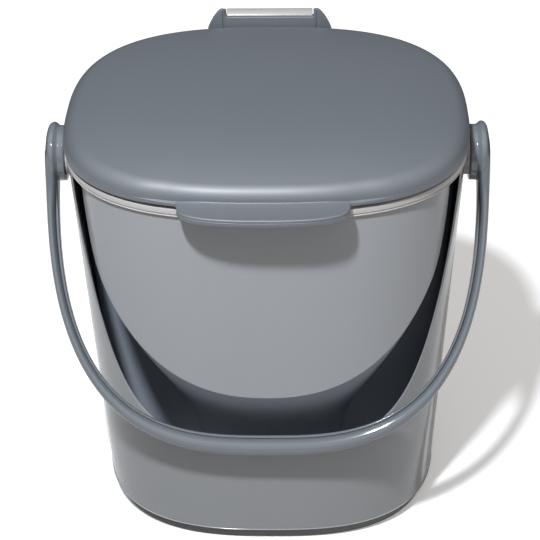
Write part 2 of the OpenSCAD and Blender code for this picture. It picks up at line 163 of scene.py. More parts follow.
class Surface:
    """One closed surface, gathered from grids of points and the faces that close them."""

    def __init__(self) -> None:
        """Starts with no points and no faces."""
        self.points: list[np.ndarray] = []
        self.faces: list[np.ndarray] = []
        self.count = 0

    def add_points(self, points: np.ndarray) -> np.ndarray:
        """Adds points, in millimetres, and returns their indices in the same layout."""
        flat = points.reshape(-1, 3)
        self.points.append(flat)
        first = self.count
        self.count += len(flat)
        return np.arange(first, self.count).reshape(points.shape[:-1])

    def add_grid(self, grid: np.ndarray, hoop: bool = False, ring: bool = True) -> np.ndarray:
        """Joins a grid of points with quads, each from a point to its next column and row.

        Args:
            grid: rows by columns by 3.
            hoop: whether the last row joins the first.
            ring: whether the last column joins the first.

        Returns:
            The grid's indices.
        """
        index = self.add_points(grid)
        up = np.roll(index, -1, 0) if hoop else index[1:]
        low = index if hoop else index[:-1]
        if ring:
            quads = [low, np.roll(low, -1, 1), np.roll(up, -1, 1), up]
        else:
            quads = [low[:, :-1], low[:, 1:], up[:, 1:], up[:, :-1]]
        self.faces.append(np.stack(quads, -1).reshape(-1, 4))
        return index

    def add_fan(self, rim: np.ndarray, centre: Sequence[float], start: bool = False) -> None:
        """Closes a rim with triangles to one centre point, turned round for a grid's first row."""
        middle = self.add_points(np.array([centre], float))[0]
        nxt = np.roll(rim, -1)
        pair = (nxt, rim) if start else (rim, nxt)
        self.faces.append(np.stack([*pair, np.full_like(rim, middle)], -1))

    def add_plug(self, rim: np.ndarray, start: bool = False) -> None:
        """Closes a flat rim with one face, turned round for a grid's first row."""
        self.faces.append((rim[::-1] if start else rim)[None, :])

    def volume(self) -> float:
        """Signed volume, as the sum of the fans of each face seen from the origin."""
        points = np.vstack(self.points)
        total = 0.0
        for faces in self.faces:
            a = points[faces[:, 0]][:, None]
            b, c = points[faces[:, 1:-1]], points[faces[:, 2:]]
            total += float(np.einsum("ijk,ijk->", np.cross(b, c), np.broadcast_to(a, b.shape)))
        return total / 6.0

    def mesh(self, name: str, crease: float = 30.0, first_faces: int = 0) -> bpy.types.Mesh:
        """Makes a smooth mesh in metres, its faces turned so that a closed one looks outwards.

        Args:
            name: the mesh's name.
            crease: angle in degrees past which an edge stays sharp.
            first_faces: how many faces, from the first on, take the second material.

        Returns:
            The new mesh.
        """
        points = np.vstack(self.points) * MM
        turn = 1 if self.volume() > 0 else -1
        sizes = np.concatenate([np.full(len(f), f.shape[1]) for f in self.faces])
        loops = np.concatenate([f[:, ::turn].reshape(-1) for f in self.faces])
        mesh = bpy.data.meshes.new(name)
        mesh.vertices.add(len(points))
        mesh.vertices.foreach_set("co", points.astype(np.float32).ravel())
        mesh.loops.add(len(loops))
        mesh.loops.foreach_set("vertex_index", loops.astype(np.int32))
        mesh.polygons.add(len(sizes))
        starts = np.concatenate([[0], np.cumsum(sizes)[:-1]])
        mesh.polygons.foreach_set("loop_start", starts.astype(np.int32))
        marks = (np.arange(len(sizes)) < first_faces).astype(np.int32)
        mesh.polygons.foreach_set("material_index", marks)
        mesh.update(calc_edges=True)
        mesh.validate()
        mesh.shade_smooth()
        mesh.set_sharp_from_angle(angle=math.radians(crease))
        return mesh

    def piece(self, name: str, part: Part, look: "Finish", crease: float = 30.0,
              first: "Finish | None" = None, first_faces: int = 0) -> bpy.types.Object:
        """Makes the surface an object that rides on a body.

        Args:
            name: the piece's name.
            part: the body that it rides on.
            look: the finish that it is given.
            crease: angle in degrees past which an edge stays sharp.
            first: finish of the faces that were added first, if it differs.
            first_faces: how many faces take that finish.

        Returns:
            The new object.
        """
        mesh = self.mesh(name, crease, first_faces)
        made = put(name, mesh)
        mesh.materials.append(look.material())
        if first:
            mesh.materials.append(first.material())
        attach(made, part.value)
        log.info("%s: %d points, %d faces", name, len(mesh.vertices), len(mesh.polygons))
        return made


def hooped(grid: np.ndarray) -> Surface:
    """A closed surface of a grid whose last row joins its first."""
    surface = Surface()
    surface.add_grid(grid, hoop=True)
    return surface


def capped(grid: np.ndarray) -> Surface:
    """A closed surface of a grid whose first and last rows are filled with a flat face."""
    surface = Surface()
    index = surface.add_grid(grid)
    surface.add_plug(index[0], start=True)
    surface.add_plug(index[-1])
    return surface


def revolved(profile: np.ndarray, y: float, z: float, side: Side, turns: int = 96) -> np.ndarray:
    """Carries a profile of (x, radius) round the X axis through y and z.

    Args:
        profile: points of the profile, n by 2.
        y: place of the axis.
        z: height of the axis.
        side: the side it stands on, which turns x round.
        turns: columns round the axis.

    Returns:
        The grid, n by turns by 3.
    """
    v = np.linspace(0.0, 2 * np.pi, turns, endpoint=False)[None, :]
    x, r = profile[:, :1], profile[:, 1:]
    rings = np.broadcast_arrays(side.value * x, y + r * np.cos(v), z + r * np.sin(v))
    return np.stack(rings, -1)


def edged(half_t: float, edge: float, steps: int = 5) -> tuple[np.ndarray, np.ndarray]:
    """Insets and places of the rows across a slab, with a quarter round at both its faces.

    Args:
        half_t: half of the distance between the two faces.
        edge: radius of the rounded edges.
        steps: rows in each quarter round.

    Returns:
        How far each row is set in, and where it lies across the slab.
    """
    turn = np.linspace(0.0, np.pi / 2, steps)
    inset = edge * (1 - np.sin(turn))
    place = -half_t + edge * (1 - np.cos(turn))
    return np.concatenate([inset, inset[::-1]]), np.concatenate([place, -place[::-1]])


def slab(outline: np.ndarray, centre: float, width: float, edge: float) -> Surface:
    """Carries a flat outline across x, with rounded edges at both faces.

    Args:
        outline: closed anticlockwise path of (y, z), n by 2.
        centre: place of the slab's middle along x.
        width: distance between the two faces.
        edge: radius of the rounded edges.

    Returns:
        The closed surface.
    """
    inset, place = edged(width / 2, edge)
    rings = outline[None] + inward(outline)[None] * inset[:, None, None]
    across = np.broadcast_to((place + centre)[:, None], rings.shape[:2])
    return capped(np.stack([across, rings[..., 0], rings[..., 1]], -1))


# ---------------------------------------------------------------- finishes


class Wiring:
    """The nodes and links of one shader tree."""

    def __init__(self, tree: bpy.types.NodeTree) -> None:
        """Takes the tree that it works in."""
        self.tree = tree

    def node(self, kind: str, **settings: object) -> bpy.types.Node:
        """Adds a node with its settings."""
        made = self.tree.nodes.new(kind)
        for key, value in settings.items():
            setattr(made, key, value)
        return made

    def feed(self, end: bpy.types.NodeSocket, value: object) -> None:
        """Links an input to a socket, or sets it to a plain value."""
        if isinstance(value, bpy.types.NodeSocket):
            self.tree.links.new(value, end)
        else:
            end.default_value = value

    def math(self, operation: str, *values: object) -> bpy.types.NodeSocket:
        """Adds a Math node on sockets or numbers and returns its result."""
        made = self.node("ShaderNodeMath", operation=operation)
        for end, value in zip(made.inputs, values):
            self.feed(end, value)
        return made.outputs[0]

    def ramp(self, value: bpy.types.NodeSocket, start: tuple[float, float],
             end: tuple[float, float], kind: str = "SMOOTHSTEP") -> bpy.types.NodeSocket:
        """Adds a map of a value from one range to another and returns its result."""
        made = self.node("ShaderNodeMapRange", interpolation_type=kind)
        made.inputs["From Min"].default_value, made.inputs["From Max"].default_value = start
        made.inputs["To Min"].default_value, made.inputs["To Max"].default_value = end
        self.feed(made.inputs["Value"], value)
        return made.outputs[0]

    def choose(self, mask: bpy.types.NodeSocket, off: object, on: object) -> bpy.types.NodeSocket:
        """Adds a mix of two numbers or sockets by a mask and returns its result."""
        made = self.node("ShaderNodeMix")
        for label, value in (("Factor", mask), ("A", off), ("B", on)):
            self.feed(made.inputs[label], value)
        return made.outputs["Result"]

    def either(self, mask: bpy.types.NodeSocket, off: bpy.types.NodeSocket,
               on: bpy.types.NodeSocket) -> bpy.types.NodeSocket:
        """Adds a mix of two shaders by a mask and returns its result."""
        made = self.node("ShaderNodeMixShader")
        for end, value in zip(made.inputs, (mask, off, on)):
            self.feed(end, value)
        return made.outputs[0]


class ShaderGroup(Wiring):
    """A shader node group that is built once, and its sockets by name."""

    def __init__(self, name: str, inputs: dict[str, str], outputs: dict[str, str]) -> None:
        """Makes the group with typed sockets, each named with its socket class."""
        super().__init__(bpy.data.node_groups.new(name, "ShaderNodeTree"))
        for in_out, sockets in (("INPUT", inputs), ("OUTPUT", outputs)):
            for label, kind in sockets.items():
                self.tree.interface.new_socket(name=label, in_out=in_out, socket_type=kind)
        self.ins = self.node("NodeGroupInput").outputs
        self.outs = self.node("NodeGroupOutput").inputs

    def noise(self, vector: bpy.types.NodeSocket, scale: object,
              detail: float) -> bpy.types.NodeSocket:
        """Adds a noise texture on a vector and returns its value between 0 and 1."""
        made = self.node("ShaderNodeTexNoise", noise_dimensions="3D")
        for label, value in (("Detail", detail), ("Vector", vector), ("Scale", scale)):
            self.feed(made.inputs[label], value)
        return made.outputs["Fac"]


FLOAT, COLOUR, VECTOR = "NodeSocketFloat", "NodeSocketColor", "NodeSocketVector"


def tone_group() -> ShaderGroup:
    """Slow drift of a moulding's colour: the colour times 1 + amount (noise - 1/2) 2.

    Returns:
        The group, with a Colour that drifts over the surface.
    """
    group = ShaderGroup(
        "mould_tone",
        {"Vector": VECTOR, "Colour": COLOUR, "Scale": FLOAT, "Amount": FLOAT},
        {"Colour": COLOUR},
    )
    ins = group.ins
    broad = group.noise(ins["Vector"], ins["Scale"], 3.0)
    fine = group.noise(ins["Vector"], group.math("MULTIPLY", ins["Scale"], 37.0), 2.0)
    both = group.math("ADD", broad, group.math("MULTIPLY", fine, 0.35))
    swing = group.math("MULTIPLY", group.math("SUBTRACT", both, 0.675), ins["Amount"])
    gain = group.math("ADD", group.math("MULTIPLY", swing, 2.0), 1.0)
    scaled = group.node("ShaderNodeVectorMath", operation="SCALE")
    group.feed(scaled.inputs[0], ins["Colour"])
    group.feed(scaled.inputs["Scale"], gain)
    group.feed(group.outs["Colour"], scaled.outputs["Vector"])
    return group


def haze_group() -> ShaderGroup:
    """Handling haze on a gloss: roughness plus amount times a cloudy mask with faint rubs.

    Returns:
        The group, with a Roughness that changes over the surface.
    """
    group = ShaderGroup(
        "handling_haze",
        {"Vector": VECTOR, "Roughness": FLOAT, "Scale": FLOAT, "Amount": FLOAT},
        {"Roughness": FLOAT},
    )
    ins = group.ins
    cloud = group.noise(ins["Vector"], ins["Scale"], 4.0)
    stretch = group.node("ShaderNodeMapping")
    stretch.inputs["Scale"].default_value = (1.0, 1.0, 0.06)
    stretch.inputs["Rotation"].default_value = (0.4, 0.7, 0.2)
    group.feed(stretch.inputs["Vector"], ins["Vector"])
    rubs = group.noise(stretch.outputs["Vector"], 1400.0, 1.0)
    mask = group.math("ADD", cloud, group.math("MULTIPLY", rubs, 0.4))
    swing = group.math("MULTIPLY", group.math("SUBTRACT", mask, 0.7), ins["Amount"])
    result = group.math("MAXIMUM", group.math("ADD", ins["Roughness"], swing), 0.03)
    group.feed(group.outs["Roughness"], result)
    return group


def grain_group() -> ShaderGroup:
    """Spark-eroded grain of a mould: fine noise, with a little of a coarser noise under it.

    Returns:
        The group, with a Height between 0 and about 1.3.
    """
    group = ShaderGroup(
        "mould_grain", {"Vector": VECTOR, "Scale": FLOAT, "Coarse": FLOAT}, {"Height": FLOAT}
    )
    ins = group.ins
    fine = group.noise(ins["Vector"], ins["Scale"], 2.0)
    coarse = group.noise(ins["Vector"], group.math("MULTIPLY", ins["Scale"], 0.12), 1.0)
    height = group.math("ADD", fine, group.math("MULTIPLY", coarse, ins["Coarse"]))
    group.feed(group.outs["Height"], height)
    return group


def turning_group() -> ShaderGroup:
    """Lathe marks round the X axis: a noise of x alone, drawn out round the piece.

    Returns:
        The group, with a Height between 0 and 1.
    """
    group = ShaderGroup("turning_marks", {"Vector": VECTOR, "Scale": FLOAT}, {"Height": FLOAT})
    ins = group.ins
    apart = group.node("ShaderNodeSeparateXYZ")
    group.feed(apart.inputs[0], ins["Vector"])
    line = group.node("ShaderNodeCombineXYZ")
    group.feed(line.inputs["X"], apart.outputs["X"])
    group.feed(group.outs["Height"], group.noise(line.outputs["Vector"], ins["Scale"], 3.0))
    return group


class Shaders:
    """The shader groups, each built when first asked for."""

    makers: dict[str, Callable[[], ShaderGroup]] = {
        "tone": tone_group,
        "haze": haze_group,
        "grain": grain_group,
        "turning": turning_group,
    }
    built: dict[str, ShaderGroup] = {}

    @classmethod
    def tree(cls, name: str) -> bpy.types.NodeTree:
        """The node tree of a group by its short name."""
        if name not in cls.built:
            cls.built[name] = cls.makers[name]()
        return cls.built[name].tree


@dataclass(frozen=True)
class Finish:
    """One moulded, rubber or metal finish and the numbers its material takes."""

    name: str
    slot: str
    colour: tuple[float, float, float]
    roughness: float
    tone: float = 0.02
    tone_scale: float = 9.0
    haze: float = 0.04
    haze_scale: float = 22.0
    grain_scale: float = 2600.0
    grain_depth: float = 0.000004
    coarse: float = 0.3
    metallic: float = 0.0
    specular: float = 0.5
    coat: float = 0.0
    coat_roughness: float = 0.1
    turned: bool = False

    def place(self, wires: Wiring, name: str, **values: object) -> bpy.types.Node:
        """Adds a shader group to a material with its own values."""
        made = wires.node("ShaderNodeGroup", node_tree=Shaders.tree(name))
        for label, value in values.items():
            wires.feed(made.inputs[label], value)
        return made

    def material(self) -> bpy.types.Material:
        """The finish's material, made once: tone, haze and grain feed a Principled BSDF."""
        found = bpy.data.materials.get(self.name)
        if found:
            return found
        made = bpy.data.materials.new(self.name)
        made.use_nodes = True
        wires = Wiring(made.node_tree)
        shader = made.node_tree.nodes["Principled BSDF"]
        shader.inputs["Metallic"].default_value = self.metallic
        shader.inputs["Specular IOR Level"].default_value = self.specular
        shader.inputs["Coat Weight"].default_value = self.coat
        shader.inputs["Coat Roughness"].default_value = self.coat_roughness
        coords = wires.node("ShaderNodeTexCoord").outputs["Object"]
        tone = self.place(wires, "tone", Vector=coords, Colour=(*self.colour, 1.0),
                          Scale=self.tone_scale, Amount=self.tone)
        haze = self.place(wires, "haze", Vector=coords, Roughness=self.roughness,
                          Scale=self.haze_scale, Amount=self.haze)
        if self.turned:
            relief = self.place(wires, "turning", Vector=coords, Scale=self.grain_scale)
        else:
            relief = self.place(wires, "grain", Vector=coords, Scale=self.grain_scale,
                                Coarse=self.coarse)
        bump = wires.node("ShaderNodeBump")
        bump.inputs["Strength"].default_value = 1.0
        bump.inputs["Distance"].default_value = self.grain_depth
        wires.feed(bump.inputs["Height"], relief.outputs["Height"])
        wires.feed(shader.inputs["Base Color"], tone.outputs["Colour"])
        wires.feed(shader.inputs["Roughness"], haze.outputs["Roughness"])
        wires.feed(shader.inputs["Normal"], bump.outputs["Normal"])
        return made


SHELL = Finish("shell_gloss", "shell_plastic", (0.325, 0.337, 0.350), 0.13, haze=0.03)
PAIL = Finish("pail_gloss", "pail_plastic", (0.395, 0.412, 0.436), 0.24)
# Painted shade: a bluer, rougher copy of the pail's own plastic, only on its turned-in faces, its
# colour tuned to how the shaded recess looks.
PAIL_RECESS_SHADE = Finish("recess_painted_shade", "pail_plastic", (0.370, 0.415, 0.485), 0.55)
LID = Finish("lid_satin", "lid_plastic", (0.105, 0.119, 0.136), 0.57, haze=0.05,
             grain_scale=1900.0, grain_depth=0.000012, coarse=0.5, specular=0.95,
             coat=0.6, coat_roughness=0.42)
HANDLE = Finish("handle_gloss", "handle_plastic", (0.150, 0.168, 0.187), 0.08, haze=0.02,
                specular=0.75)
PALE = Finish("pale_satin", "pale_plastic", (0.60, 0.58, 0.565), 0.32, grain_depth=0.000007)
# Painted shade: the collar's pale plastic made darker for the barrel, whose upward face the lamp
# lights more.
PALE_BARREL_SHADE = Finish("hinge_painted_shade", "pale_plastic", (0.37, 0.363, 0.360), 0.38, grain_depth=0.000007)
FOOT = Finish("foot_rubber", "foot_rubber", (0.090, 0.090, 0.091), 0.55, tone=0.06,
              grain_scale=1500.0, grain_depth=0.00002)
SEAL = Finish("seal_rubber", "seal_rubber", (0.012, 0.012, 0.013), 0.55, tone=0.05,
              grain_scale=1700.0, grain_depth=0.000015, specular=0.3)
STEEL = Finish("pin_steel", "pin_steel", (0.56, 0.57, 0.59), 0.24, metallic=1.0,
               grain_scale=3000.0, grain_depth=0.000006, turned=True)


# ---------------------------------------------------------------- the caddy


@dataclass
class Plan:
    """The tapered, squared plan that shell, pail, collar, foot and lid all follow."""

    rim_w: float = 221.0
    rim_d: float = 189.6
    base_w: float = 199.0
    base_d: float = 176.0
    corner_n: float = 2.7
    foot_h: float = 8.0
    shell_top: float = 227.4

    def halves(self, z: np.ndarray) -> tuple[np.ndarray, np.ndarray]:
        """Half width and half depth at a height, straight from foot to rim."""
        climb = (z - self.foot_h) / (self.shell_top - self.foot_h)
        return (
            self.base_w / 2 + (self.rim_w - self.base_w) / 2 * climb,
            self.base_d / 2 + (self.rim_d - self.base_d) / 2 * climb,
        )

    def points(self, t: np.ndarray, inset: np.ndarray, z: np.ndarray) -> np.ndarray:
        """Points at angle t on the tapered plan, set in by inset, at height z."""
        a, b = self.halves(np.asarray(z, float))
        return lifted(squared(a - inset, b - inset, self.corner_n, t), z)

    def mirrored(self, half: np.ndarray) -> np.ndarray:
        """Angles round the whole plan from those of its right half, front centre to rear centre."""
        return np.concatenate([half, -np.pi - half[-2:0:-1]])

    def ring_angles(self, count: int) -> np.ndarray:
        """Evenly spaced angles round the whole plan, from the front centre."""
        quarter = np.pi / 2
        return self.mirrored(
            even_angles(self.rim_w, self.rim_d, self.corner_n, -quarter, quarter, count // 2 + 1)
        )

    def band(self, a: float, b: float, profile: np.ndarray, count: int = 480) -> np.ndarray:
        """Carries a profile of (inset, height) round a plain outline of half sizes a and b."""
        t = self.ring_angles(count)[None, :]
        inset, z = profile[:, :1], profile[:, 1:]
        return lifted(squared(a - inset, b - inset, self.corner_n, t), z)


@dataclass
class Shell:
    """The outer shell: open at the foot, scooped at the front, its cut edge undercut."""

    plan: Plan
    wall: float = 2.4
    post: float = 5.0
    sill_z: float = 78.0
    undercut: float = 3.0
    edge_flat: float = 0.4
    edge_grow: float = 0.9
    edge_round: tuple[tuple[float, float], ...] = ((0.55, 0.03), (0.25, 0.12), (0.07, 0.25))
    edge_p: float = 6.0
    edge_q: float = 1.7
    foot_round: float = 1.1
    bead_up: tuple[float, ...] = (1.35, 1.6, 1.85, 2.0, 2.2)
    bead_in: tuple[float, ...] = (-0.45, -0.44, -0.38, -0.22, -0.05, 0.0)
    edge_columns: int = 150
    back_columns: int = 130
    wall_rows: int = 60
    inner_rows: int = 40

    def edge(self, grow: float) -> tuple[np.ndarray, np.ndarray]:
        """Angle and height of the scoop's edge, grown by a margin, and of the rim behind it.

        The edge falls from the rim by drop (1 - c^p)^(1/q), with c the share of the scoop's
        half width, and c is spaced evenly along the edge.

        Args:
            grow: how far the scoop is grown all round.

        Returns:
            The angles and heights of every column, once round from the front centre.
        """
        plan = self.plan
        half = plan.rim_w / 2
        reach = 1 - self.post / half
        drop = plan.shell_top - self.sill_z
        c = np.sin(np.linspace(0.0, np.pi / 2, 8001)) ** (2 / self.edge_p)
        fall = drop * (1 - c**self.edge_p) ** (1 / self.edge_q)
        run = along(np.stack([half * reach * c, fall], 1))
        c = np.interp(np.linspace(0.0, run[-1], self.edge_columns), run, c)
        wide = np.minimum((reach + grow / half) * c, 1.0)
        front = -np.arccos(wide ** (plan.corner_n / 2))
        fall = (drop + grow) * (1 - c**self.edge_p) ** (1 / self.edge_q)
        start = -math.acos(reach ** (plan.corner_n / 2))
        back = even_angles(plan.rim_w, plan.rim_d, plan.corner_n, start, np.pi / 2,
                           self.back_columns + 1)
        share = (back[1:] - start) / (np.pi / 2 - start)
        rear = front[-1] + (np.pi / 2 - front[-1]) * share
        t = plan.mirrored(np.concatenate([front, rear]))
        z = np.concatenate([plan.shell_top - fall, np.full(self.back_columns, plan.shell_top)])
        return t, np.concatenate([z, z[-2:0:-1]])

    def rows(self, grow: float, inset: np.ndarray, share: np.ndarray) -> np.ndarray:
        """Rows of the wall at shares of the height from the foot to the grown edge."""
        t, top = self.edge(grow)
        low = self.plan.foot_h
        z = low + (top - low)[None, :] * share[:, None]
        return self.plan.points(t[None, :], inset[:, None], z)

    def build(self) -> None:
        """Makes the shell as one closed hoop: up the outside, round the edge, down the inside."""
        r = self.foot_round
        tall = self.plan.shell_top - self.plan.foot_h
        turn = np.linspace(0.0, np.pi / 2, 6)
        heel, bead = r * (1 - np.cos(turn)) / tall, np.array(self.bead_up) / tall
        outside = np.concatenate([heel, bead, np.linspace(0.014, 1.0, self.wall_rows)])
        foot_in = np.concatenate([
            r * (1 - np.sin(turn)) + self.bead_in[0], self.bead_in[1:], np.zeros(self.wall_rows)
        ])
        slope = [
            (self.undercut * s, self.edge_flat + (self.wall - self.edge_flat) * s)
            for s in np.linspace(0.12, 1.0, 8)
        ]
        edge = [
            self.rows(grow, np.array([inset]), np.ones(1))
            for grow, inset in (*self.edge_round, (0.0, self.edge_flat), *slope)
        ]
        inside = self.rows(self.undercut, np.full(self.inner_rows, self.wall),
                           np.linspace(0.98, 0.0, self.inner_rows))
        grid = np.concatenate([self.rows(self.edge_grow, foot_in, outside), *edge, inside])
        made = hooped(grid).piece("shell_wall", Part.BODY, SHELL, crease=38.0)
        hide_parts("outer_shell")


@dataclass
class Pail:
    """The inner pail: upright at the front, then turned inwards over the finger recess."""

    plan: Plan
    wall: float = 2.4
    gap: float = 3.0
    flush: float = 2.5
    floor_z: float = 9.0
    fillet: float = 16.0
    face_half_w: float = 101.0
    face_turn_z: float = 108.4
    slope: float = 0.65
    recess: float = 58.0
    face_p: float = 2.2
    recess_p: float = 5.0
    fade: float = 0.35
    flush_x: float = 105.0
    flush_fade: float = 14.0
    crease_columns: int = 138
    back_columns: int = 78
    floor_rings: int = 9
    fillet_rows: int = 12
    middle_rows: int = 63
    face_rows: int = 25

    def columns(self) -> tuple[np.ndarray, np.ndarray]:
        """Angle of every column, and the height at which the face turns in there.

        The turn lies where (x / half width)^p + (drop / face drop)^p = 1, and its columns are
        spaced evenly along that curve.
        """
        plan, p = self.plan, self.face_p
        drop = plan.shell_top - self.face_turn_z
        c = np.sin(np.linspace(0.0, np.pi / 2, 8001)) ** (2 / p)
        fall = drop * np.maximum(1 - c**p, 0.0) ** (1 / p)
        run = along(np.stack([self.face_half_w * c, fall], 1))
        c = np.interp(np.linspace(0.0, run[-1], self.crease_columns), run, c)
        z = plan.shell_top - drop * np.maximum(1 - c**p, 0.0) ** (1 / p)
        front = -np.arccos((self.face_half_w * c / plan.halves(z)[0]) ** (plan.corner_n / 2))
        back = even_angles(plan.rim_w, plan.rim_d, plan.corner_n, front[-1], np.pi / 2,
                           self.back_columns + 1)[1:]
        z = np.concatenate([z, np.full(self.back_columns, plan.shell_top)])
        return plan.mirrored(np.concatenate([front, back])), np.concatenate([z, z[-2:0:-1]])

    def face_gap(self, t: np.ndarray, z: np.ndarray) -> np.ndarray:
        """Gap to the shell's plan, less at the front, where the face comes out flush."""
        x, y = np.moveaxis(squared(*self.plan.halves(z), self.plan.corner_n, t), -1, 0)
        share = smooth((self.flush_x - np.abs(x)) / self.flush_fade)
        return self.gap - self.flush * share * (y < 0)

    def turn_in(self, t: np.ndarray, z: np.ndarray) -> np.ndarray:
        """How far the face has turned in: slope times the distance past the turn, which settles
        at the recess's depth as v / (1 + (v / depth)^p)^(1/p), and fades out towards the sides."""
        plan = self.plan
        drop = plan.shell_top - self.face_turn_z
        x = np.abs(squared(*plan.halves(z), plan.corner_n, t)[..., 0])
        rho = ((x / self.face_half_w) ** self.face_p
               + (np.maximum(plan.shell_top - z, 0.0) / drop) ** self.face_p) ** (1 / self.face_p)
        v = self.slope * drop * np.maximum(rho - 1, 0.0)
        settled = v / (1 + (v / self.recess) ** self.recess_p) ** (1 / self.recess_p)
        return settled * smooth(-np.sin(t) / self.fade)

    def rows(self, extra: float, low: float, radius: float) -> np.ndarray:
        """Rows of one face of the wall, from its floor's edge up to the rim.

        Args:
            extra: how far this face lies in from the pail's outside.
            low: height of this face's floor.
            radius: fillet between floor and wall.

        Returns:
            The grid, fillet first, then the turned part, then the upright face.
        """
        t, turn = self.columns()
        top = self.plan.shell_top
        turn = np.minimum(turn, top - 0.4)[None, :]
        w = np.linspace(0.0, np.pi / 2, self.fillet_rows)[:, None]
        fillet = low + radius * (1 - np.cos(w)) + 0 * turn
        start = low + radius
        middle = start + (turn - start) * np.linspace(0.0, 1.0, self.middle_rows + 1)[1:, None]
        face = turn + (top - turn) * np.linspace(0.0, 1.0, self.face_rows + 1)[1:, None]
        z = np.concatenate([fillet, middle, face])
        below = np.maximum(radius - (z - low), 0.0)
        round_in = radius - np.sqrt(np.maximum(radius**2 - below**2, 0.0))
        t = t[None, :]
        inset = self.face_gap(t, z) + extra + self.turn_in(t, z) + round_in
        return self.plan.points(t, inset, z)

    def floor(self, rim: np.ndarray, centre: np.ndarray, outwards: bool) -> np.ndarray:
        """Rings of a flat floor between its centre and its rim, as straight blends of both."""
        s = np.linspace(0.05, 0.92, self.floor_rings)[:, None, None]
        rings = centre + (rim[None] - centre) * s
        return rings if outwards else rings[::-1]

    def build(self) -> None:
        """Makes the pail as one closed surface from its underside round the rim to its floor."""
        outside = self.rows(0.0, self.floor_z, self.fillet)
        inside = self.rows(self.wall, self.floor_z + self.wall, self.fillet - self.wall)[::-1]
        under, above = outside[0].mean(0), inside[-1].mean(0)
        grid = np.concatenate([
            self.floor(outside[0], under, True), outside,
            inside, self.floor(inside[-1], above, False),
        ])
        surface = Surface()
        index = surface.add_grid(grid)
        surface.add_fan(index[0], under, start=True)
        surface.add_fan(index[-1], above)
        # The turned-in faces take the recess copy of the pail's colour, which is painted shade.
        turned = grid.shape[1] * (self.floor_rings + self.fillet_rows + self.middle_rows - 1)
        made = surface.piece("pail_bucket", Part.BODY, PAIL, 24.0, PAIL_RECESS_SHADE, turned)
        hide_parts("inner_pail")


@dataclass
class Foot:
    """The rubber foot ring, with the tongue that holds it inside the shell's foot."""

    plan: Plan
    inset: float = 2.4
    width: float = 9.0
    tongue_in: float = 2.5
    tongue_t: float = 2.4
    tongue_h: float = 4.0

    def build(self) -> None:
        """Carries the ring's profile round the shell's foot."""
        h, i, w = self.plan.foot_h, self.inset, self.width
        inner = self.tongue_in + self.tongue_t
        corners = np.array([
            [i + 0.7, 0.0], [i, 3.0], [i, h - 0.4], [i + 0.6, h], [self.tongue_in + 0.6, h],
            [self.tongue_in + 0.6, h + self.tongue_h], [inner, h + self.tongue_h], [inner, h],
            [i + w, h], [i + w, 0.0],
        ])
        cuts = [0.6, 0.6, 0.3, 0.3, 0.02, 0.5, 0.5, 0.3, 0.8, 0.8]
        grid = self.plan.band(self.plan.base_w / 2, self.plan.base_d / 2,
                              round_corners(corners, cuts))
        made = hooped(grid).piece("foot_tread", Part.BODY, FOOT, crease=40.0)
        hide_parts("foot_ring")


@dataclass
class Collar:
    """The pale collar over both rims, and the riser and barrel of the lid's hinge."""

    plan: Plan
    height: float = 5.2
    proud: float = 0.8
    mouth_in: float = 5.4
    hinge_y: float = 102.0
    hinge_z: float = 249.0
    barrel_r: float = 5.2
    barrel_l: float = 51.6
    bore: float = 1.76
    riser_w: float = 40.0
    riser_t: float = 5.0
    riser_edge: float = 0.5

    def band_profile(self) -> np.ndarray:
        """Profile of (inset, height): a dark seam, a thin lip, a groove, the band, the mouth."""
        z, p = self.plan.shell_top, -self.proud
        corners = np.array([
            [1.3, z], [1.3, z + 0.42], [p + 0.1, z + 0.5], [p + 0.1, z + 1.25], [p + 0.8, z + 1.3],
            [p + 0.8, z + 1.8], [p, z + 1.9], [p + 0.05, z + self.height],
            [self.mouth_in, z + self.height], [self.mouth_in, z],
        ])
        cuts = [0.1, 0.1, 0.2, 0.2, 0.1, 0.1, 0.2, 0.35, 0.7, 0.4]
        return round_corners(corners, cuts)

    def riser(self) -> Surface:
        """The riser: a side outline of shelf, wall and rounded top, carried across x."""
        z0, z1 = self.plan.shell_top + 0.2, self.hinge_z
        front = self.plan.rim_d / 2 - self.mouth_in / 2
        back = self.hinge_y + self.riser_t / 2
        wall = self.hinge_y - self.riser_t / 2
        outline = round_corners(np.array([
            [front, z0], [back, z0], [back, z1], [wall, z1], [wall, z0 + self.height - 0.2],
            [front, z0 + self.height - 0.2],
        ]), [0.6, 1.6, 0.6, 0.6, 1.4, 0.3], 7)
        return slab(outline, 0.0, self.riser_w, self.riser_edge)

    def barrel(self) -> Surface:
        """The barrel: a tube with rounded ends, turned round the hinge's axis."""
        half = self.barrel_l / 2
        corners = np.array([
            [-half, self.bore], [-half, self.barrel_r], [half, self.barrel_r], [half, self.bore]
        ])
        profile = round_corners(corners, [0.3, 0.6, 0.6, 0.3])
        return hooped(revolved(profile, self.hinge_y, self.hinge_z, Side.RIGHT))

    def build(self) -> None:
        """Makes band, riser and barrel, which are one moulding; the barrel takes a darker copy of
        the pale colour as painted shade.
        """
        band = self.plan.band(self.plan.rim_w / 2, self.plan.rim_d / 2, self.band_profile(), 560)
        made = hooped(band).piece("rim_band", Part.BODY, PALE, crease=40.0)
        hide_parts("rim_collar")
        self.riser().piece("hinge_riser", Part.BODY, PALE, crease=35.0)
        # The barrel's darker pale colour is painted shade, not a different plastic.
        self.barrel().piece("hinge_barrel", Part.BODY, PALE_BARREL_SHADE, crease=35.0)


